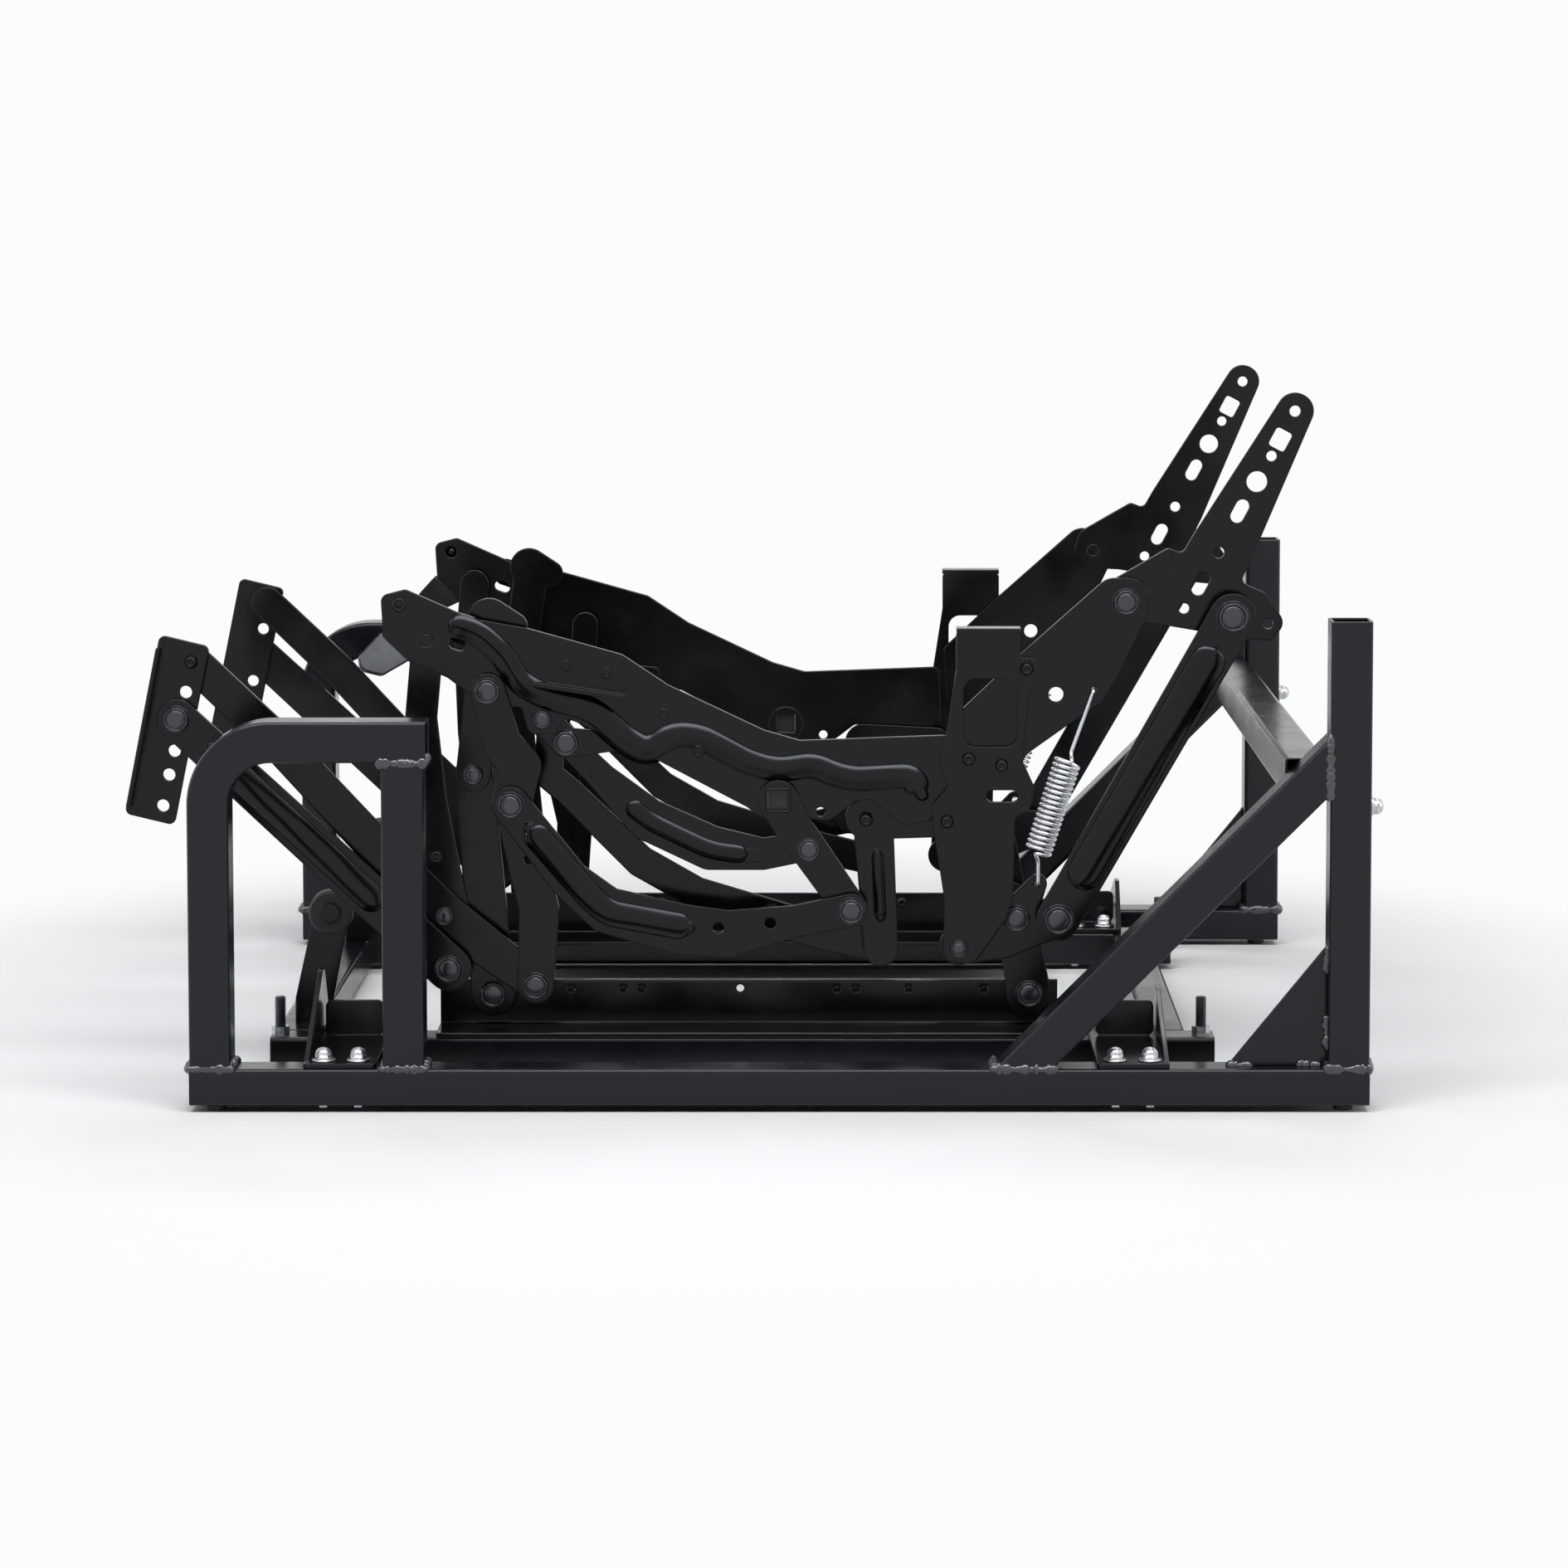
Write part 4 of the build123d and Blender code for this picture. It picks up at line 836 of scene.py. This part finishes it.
RAIL_TUBE_Y = 277.5
BOLT_X = (-276.5, -255.5, 203.5, 224.5)
bolt_places = [
    place(x, -y, BRACKET_TOP + FLANGE_HALF) for x in BOLT_X for y in (RAIL_TUBE_Y, INNER_TUBE_Y)
]
bolt_mesh = grown("domed_bolts", BOLT_TREE, seed_points("bolt_seeds", bolt_places), {})
put_hardware("domed_bolts", "base", bolt_mesh, ZINC_HARDWARE)

# One bolt on the back of each rear post, with a lower head
POST_BOLT_Z = 185.0
POST_BOLT_HEAD = 0.006
post_place = place(REAR_POST_X + HALF_TUBE + FLANGE_HALF, -RAIL_TUBE_Y, POST_BOLT_Z)
post_bolts = grown(
    "post_bolts",
    BOLT_TREE,
    seed_points("post_bolt_seeds", [post_place]),
    {"Facing": (0.0, math.pi / 2, 0.0), "Head Height": POST_BOLT_HEAD},
)
put_hardware("post_bolts", "base", post_bolts, ZINC_HARDWARE)

# Pressed ribs and ridges, in millimetres: smooth swellings of the sheet, which carry the long highlights
RIB_FOOT = 0.35
RIB_STEP = 2.0
RIB_SAMPLES = 8
RIB_END = 8.0
LEAST_SWELL = 0.015
EVEN_SIDES = 0.01
LONG_SIDE_FALL = 2.2
LONG_SIDE_LIFT = 1.2
ROUTE_CORNER = 9.0
CORNER_STEPS = 4


def outward_mesh(name, points, faces):
    """A closed mesh whose faces all look outwards."""
    mesh = bpy.data.meshes.new(name)
    mesh.from_pydata(points, [], faces)
    turned = bmesh.new()
    turned.from_mesh(mesh)
    bmesh.ops.recalc_face_normals(turned, faces=turned.faces)
    turned.to_mesh(mesh)
    turned.free()
    return mesh


def rounded_route(points):
    """A route through points in the plate's plane with its corners eased, sampled evenly."""
    knots = [Vector(point) for point in points]
    route = [knots[0]]
    for before, at, after in zip(knots, knots[1:], knots[2:]):
        reach = min(ROUTE_CORNER, (at - before).length * 0.45, (after - at).length * 0.45)
        start = at + (before - at).normalized() * reach
        end = at + (after - at).normalized() * reach
        for step in range(CORNER_STEPS + 1):
            t = step / CORNER_STEPS
            route.append(start * (1 - t) ** 2 + at * 2 * t * (1 - t) + end * t * t)
    route.append(knots[-1])
    even = []
    for start, end in zip(route, route[1:]):
        pieces = max(1, round((end - start).length / RIB_STEP))
        even += [start.lerp(end, i / pieces) for i in range(pieces)]
    return even + [route[-1]]


def pressing(name, layer, points, above, below, rise):
    """A swelling along a route on a plate: round in section, or hollow below where its sides differ."""
    route = rounded_route(points)
    travelled = [0.0]
    for start, end in zip(route, route[1:]):
        travelled.append(travelled[-1] + (end - start).length)
    face = plate_face(layer)
    end_length = max(above, min(below, RIB_END))
    verts, faces = [], []
    ring_size = 2 * RIB_SAMPLES + 2
    for i, (centre, along) in enumerate(zip(route, travelled)):
        heading = (route[min(i + 1, len(route) - 1)] - route[max(i - 1, 0)]).normalized()
        upward = Vector((-heading.y, heading.x))
        to_end = min(along, travelled[-1] - along) / end_length
        swell = math.sqrt(max(0.0, 1 - (1 - min(to_end, 1.0)) ** 2)) * (1 - LEAST_SWELL) + LEAST_SWELL
        for side in range(-RIB_SAMPLES, RIB_SAMPLES + 1):
            share = side / RIB_SAMPLES
            width = above if side > 0 else below
            if side > 0 or abs(above - below) < EVEN_SIDES:
                lift = 1 - share * share
            else:
                lift = (1 - abs(share)) ** LONG_SIDE_FALL * (1 + LONG_SIDE_LIFT * abs(share))
            spot = centre + upward * (share * width * swell)
            verts.append(place(spot.x, face - rise * swell * lift + RIB_FOOT * share * share, spot.y))
        verts.append(place(centre.x, face + 2 * RIB_FOOT, centre.y))
    for i in range(len(route) - 1):
        here, beyond = i * ring_size, (i + 1) * ring_size
        for side in range(ring_size):
            after = (side + 1) % ring_size
            faces.append((here + side, beyond + side, beyond + after, here + after))
    faces.append(tuple(range(ring_size)))
    faces.append(tuple((len(route) - 1) * ring_size + side for side in range(ring_size))[::-1])
    mesh = outward_mesh(name, verts, faces)
    mesh.shade_smooth()
    return mesh


# Routes of the pressings as X and Z in millimetres: the seat rail's long ridge first
RIDGE = [
    (-208.0, 286.5),
    (-190.0, 281.0),
    (-173.0, 266.0),
    (-164.0, 249.0),
    (-147.0, 240.0),
    (-118.0, 232.5),
    (-96.0, 213.0),
    (-84.0, 206.5),
    (-67.0, 217.0),
    (-51.0, 215.5),
    (-20.0, 198.5),
    (-2.0, 194.0),
    (20.0, 197.5),
    (33.0, 191.5),
    (46.0, 188.5),
    (82.0, 190.5),
    (88.0, 178.0),
]
DRIVE_CHANNEL = [(-158.0, 159.0), (-119.0, 114.0), (-108.0, 104.5), (-56.0, 95.0)]
BACK_LINK_CHANNEL = [(184.0, 120.0), (271.0, 272.0)]
UPPER_ARM_CHANNEL = [(-250.0, 107.0), (-357.0, 207.0)]
CURVED_CHANNEL = [(-97.0, 172.0), (-84.0, 160.5), (-45.0, 141.5), (-21.0, 138.5)]
STABILIZER_CHANNEL = [(60.0, 142.0), (62.0, 98.0)]
# Each pressing's name, body, layer and route, its reach above and below the route, and its rise
PRESSINGS = (
    ("rail_ridge", "seat", SEAT, RIDGE, 8.0, 11.0, 3.3),
    ("drive_channel", "drive", OUTER, DRIVE_CHANNEL, 9.0, 9.0, 3.4),
    ("back_link_channel", "back_link", OUTER, BACK_LINK_CHANNEL, 11.5, 11.5, 3.6),
    ("upper_arm_channel", "upper_arm", SWING, UPPER_ARM_CHANNEL, 9.5, 9.5, 3.2),
    ("curved_channel", "curved", CARRIER, CURVED_CHANNEL, 6.4, 6.4, 2.5),
    ("stabilizer_channel", "seat", LEVER, STABILIZER_CHANNEL, 4.2, 4.2, 2.4),
)
for name, body, layer, points, above, below, rise in PRESSINGS:
    put_hardware(name, body, pressing(name, layer, points, above, below, rise))

# Rivets set straight into a plate: a rolled ring on a filled bore, as shares of the rivet's radius across
FLAT_ROLL_RADIUS = 0.78
FLAT_ROLL_SECTION = 0.22
FLAT_ROLL_HEIGHT = 0.0032
FILL_SINK = 0.0009
FLAT_TREE, given = size_tree(
    "flat_rivet",
    [
        ("Bore Fill", "NodeSocketFloat", 0.78),
        ("Fill Depth", "NodeSocketFloat", 0.0016),
        ("Facing", "NodeSocketVector", (math.pi / 2, 0.0, 0.0)),
    ],
)
fill = add(
    FLAT_TREE,
    "GeometryNodeMeshCylinder",
    {"Vertices": 24, "Radius": given["Bore Fill"], "Depth": given["Fill Depth"]},
).outputs[0]
rolled = turned_ring(FLAT_TREE, FLAT_ROLL_RADIUS, FLAT_ROLL_SECTION)
grow_parts(
    FLAT_TREE,
    given["Geometry"],
    [(rolled, NO_SHIFT, (1.0, 1.0, FLAT_ROLL_HEIGHT)), (fill, (0.0, 0.0, -FILL_SINK), SAME_SIZE)],
    E_COATED_PLATE,
    Rotation=given["Facing"],
    Scale=across_by(FLAT_TREE, "head_radius"),
)
# Each body's flat rivets, as place, layer, radius, and height above the plate
FLAT_RIVETS = {
    "seat": [
        ((-238.5, 297.0), SEAT, 4.6, 0.0),
        ((-134.0, 259.5), SEAT, 3.6, 0.7),
        ((-109.0, 254.5), SEAT, 3.6, 0.7),
        ((-73.5, 229.0), SEAT, 3.6, 0.7),
        ((-52.0, 205.5), SEAT, 3.9, 0.7),
    ],
    "carrier": [((-217.0, 137.0), CARRIER, 3.8, 0.0)],
}
for body, rivets in FLAT_RIVETS.items():
    places = [place(x, plate_face(layer) - raised, z) for (x, z), layer, _, raised in rivets]
    radii = [radius * MM for _, _, radius, _ in rivets]
    seeds = seed_points(f"{body}_flat_seeds", places, head_radius=radii)
    put_hardware(f"flat_rivets_{body}", body, grown(f"{body}_flats", FLAT_TREE, seeds, {}))

# The crank's drive socket: a turned-up square lip, with a dark plug where the drive tube ends behind it
SOCKET_CENTRE = (-2.0, 175.0)
LOOP_STEPS = 4


def square_loop(half, corner, y):
    """A rounded square round the socket at a given Y."""
    loop = []
    reach = (half - corner) * math.sqrt(2)
    for quarter in range(4):
        middle = math.pi / 2 * quarter + math.pi / 4
        for step in range(LOOP_STEPS + 1):
            angle = math.pi / 2 * (quarter + step / LOOP_STEPS)
            loop.append(
                place(
                    SOCKET_CENTRE[0] + reach * math.cos(middle) + corner * math.cos(angle),
                    y,
                    SOCKET_CENTRE[1] + reach * math.sin(middle) + corner * math.sin(angle),
                )
            )
    return loop


def loft(name, loops, closed_ends):
    """Skins a stack of loops, round to the first again where the ends are open."""
    size = len(loops[0])
    count = len(loops)
    faces = []
    for i in range(count - 1 if closed_ends else count):
        k = (i + 1) % count
        for j in range(size):
            n = (j + 1) % size
            faces.append((i * size + j, i * size + n, k * size + n, k * size + j))
    if closed_ends:
        faces += [tuple(range(size))[::-1], tuple((count - 1) * size + j for j in range(size))]
    return outward_mesh(name, [point for loop in loops for point in loop], faces)


CRANK_FRONT = plate_face(SWING)
# The lip's loops from inside its bore, over its crest and down its outside: half width, corner, depth
LIP_LOOPS = (
    (6.45, 0.8, 2.0),
    (6.45, 0.8, -0.55),
    (6.9, 1.2, -0.8),
    (7.5, 1.8, -0.65),
    (8.0, 2.2, 0.1),
    (7.4, 1.6, 1.0),
)
lip_loops = [square_loop(half, corner, CRANK_FRONT + depth) for half, corner, depth in LIP_LOOPS]
lip_mesh = loft("socket_lip", lip_loops, closed_ends=False)
lip_mesh.shade_smooth()
put_hardware("socket_lip", "crank", lip_mesh)
PLUG_HALF = 6.4
PLUG_CORNER = 0.7
PLUG_DEPTHS = (2.6, 2.9, 4.2)
plug_loops = [square_loop(PLUG_HALF, PLUG_CORNER, CRANK_FRONT + depth) for depth in PLUG_DEPTHS]
plug_mesh = loft("socket_plug", plug_loops, closed_ends=True)
put_hardware("socket_plug", "crank", plug_mesh, material=FOOT_PLASTIC)


# Floor, light and camera, in metres. The paper takes shadow out to the first radius and is plain white past
# the second.
LIT_RADIUS = 0.42
WHITE_RADIUS = 0.78
FLOOR_REACH = 14.0
FLOOR_TONE = "#F1F3F4"
BACKDROP_TONE = "#FBFCFC"


def sees_backdrop(tree):
    """1 for the rays that see the white background: from the camera, off a gloss and through glass."""
    rays = add(tree, "ShaderNodeLightPath").outputs
    seen = add(
        tree,
        "ShaderNodeMath",
        {0: rays["Is Camera Ray"], 1: rays["Is Glossy Ray"]},
        operation="ADD",
    )
    return add(
        tree,
        "ShaderNodeMath",
        {0: seen.outputs[0], 1: rays["Is Transmission Ray"]},
        operation="ADD",
        use_clamp=True,
    ).outputs[0]


def studio_floor_paper(name):
    """Matt white paper that takes the shadow near the object and runs out into an even white."""
    material, tree = finish_material(name, FLOOR_TONE)
    where = add(tree, "ShaderNodeTexCoord").outputs["Object"]
    away = add(tree, "ShaderNodeVectorMath", {0: where}, operation="LENGTH")
    fade = add(
        tree,
        "ShaderNodeMapRange",
        {"Value": away.outputs["Value"], "From Min": LIT_RADIUS, "From Max": WHITE_RADIUS},
        interpolation_type="SMOOTHSTEP",
    )
    paper = add(tree, "ShaderNodeBsdfDiffuse", {"Color": linear(FLOOR_TONE), "Roughness": 0.0})
    white = add(tree, "ShaderNodeEmission", {"Color": linear(BACKDROP_TONE), "Strength": 1.0})
    seen = add(
        tree,
        "ShaderNodeMath",
        {0: sees_backdrop(tree), 1: fade.outputs["Result"]},
        operation="MULTIPLY",
    )
    both = add(tree, "ShaderNodeMixShader", {0: seen.outputs[0], 1: paper.outputs[0], 2: white.outputs[0]})
    add(tree, "ShaderNodeOutputMaterial", {"Surface": both.outputs[0]})
    return material


SQUARE = ((-1, -1), (1, -1), (1, 1), (-1, 1))
floor_corners = [(x * FLOOR_REACH, y * FLOOR_REACH, cad_low.z) for x, y in SQUARE]
floor_mesh = bpy.data.meshes.new("studio_floor")
floor_mesh.from_pydata(floor_corners, [], [(0, 1, 2, 3)])
floor = bpy.data.objects.new("studio_floor", floor_mesh)
bpy.context.scene.collection.objects.link(floor)
floor_mesh.materials.append(studio_floor_paper("studio_floor_paper"))

# The room's own light on matt faces: faint, and more of it from behind the object than from the front
ROOM_TONE = "#EAF1F9"
ROOM_FRONT, ROOM_BACK = -0.4, 0.65
LEAST_ROOM_LIGHT, MOST_ROOM_LIGHT = 0.003, 0.24
world = bpy.data.worlds.new("studio")
bpy.context.scene.world = world
world.use_nodes = True
tree = world.node_tree
tree.nodes.clear()
direction = add(tree, "ShaderNodeTexCoord").outputs["Generated"]
heading = add(tree, "ShaderNodeSeparateXYZ", {"Vector": direction})
lift = add(
    tree,
    "ShaderNodeMapRange",
    {
        "Value": heading.outputs["Y"],
        "From Min": ROOM_FRONT,
        "From Max": ROOM_BACK,
        "To Min": LEAST_ROOM_LIGHT,
        "To Max": MOST_ROOM_LIGHT,
    },
    interpolation_type="SMOOTHSTEP",
)
around = add(
    tree,
    "ShaderNodeBackground",
    {"Color": linear(ROOM_TONE), "Strength": lift.outputs["Result"]},
)
behind = add(tree, "ShaderNodeBackground", {"Color": linear(BACKDROP_TONE), "Strength": 1.0})
both = add(
    tree,
    "ShaderNodeMixShader",
    {0: sees_backdrop(tree), 1: around.outputs[0], 2: behind.outputs[0]},
)
add(tree, "ShaderNodeOutputWorld", {"Surface": both.outputs[0]})


def softbox(name, where, target, width, height, power):
    """A rectangular studio light that faces a point, in metres and watts."""
    lamp = bpy.data.lights.new(name, "AREA")
    lamp.shape = "RECTANGLE"
    lamp.size = width
    lamp.size_y = height
    lamp.energy = power
    stand = bpy.data.objects.new(name, lamp)
    stand.location = where
    stand.rotation_mode = "QUATERNION"
    stand.rotation_quaternion = (Vector(target) - Vector(where)).to_track_quat("-Z", "Y")
    bpy.context.scene.collection.objects.link(stand)


# Each softbox's place, the point that it faces, its width, its height and its power
SOFTBOXES = (
    ("back_softbox", (0.1, 1.15, 1.95), (0.0, -0.2, 0.1), 1.8, 0.4, 11.0),
    ("overhead_softbox", (0.0, -1.0, 1.75), (0.0, -0.15, 0.15), 2.4, 0.6, 35.0),
    ("left_softbox", (-2.0, -0.3, 0.9), (0.0, 0.0, 0.2), 0.5, 1.6, 9.0),
    ("right_softbox", (2.0, -0.2, 0.9), (0.0, 0.0, 0.2), 0.5, 1.6, 8.0),
)
for lamp_name, where, target, width, height, power in SOFTBOXES:
    softbox(lamp_name, where, target, width, height, power)

PHOTO_SIZE = 1890.0  # pixels along each side of the photograph
CAMERA_FOCUS = 5223.7  # the same pixels
SENSOR = 36.0
CAMERA_PLACE = (37.95, -2872.5, 577.07)
CAMERA_TILT = 4.15
CAMERA_SHIFT = (-0.0371, -0.2006)
NEAREST, FARTHEST = 0.05, 60.0
camera_data = bpy.data.cameras.new("photo_camera")
camera_data.sensor_width = SENSOR
camera_data.lens = CAMERA_FOCUS / PHOTO_SIZE * SENSOR
camera_data.shift_x, camera_data.shift_y = CAMERA_SHIFT
camera_data.clip_start = NEAREST
camera_data.clip_end = FARTHEST
camera = bpy.data.objects.new("photo_camera", camera_data)
camera.location = place(*CAMERA_PLACE)
camera.rotation_euler = (math.radians(90.0 - CAMERA_TILT), 0.0, 0.0)
bpy.context.scene.collection.objects.link(camera)
bpy.context.scene.camera = camera
bpy.context.scene.view_settings.view_transform = "Standard"
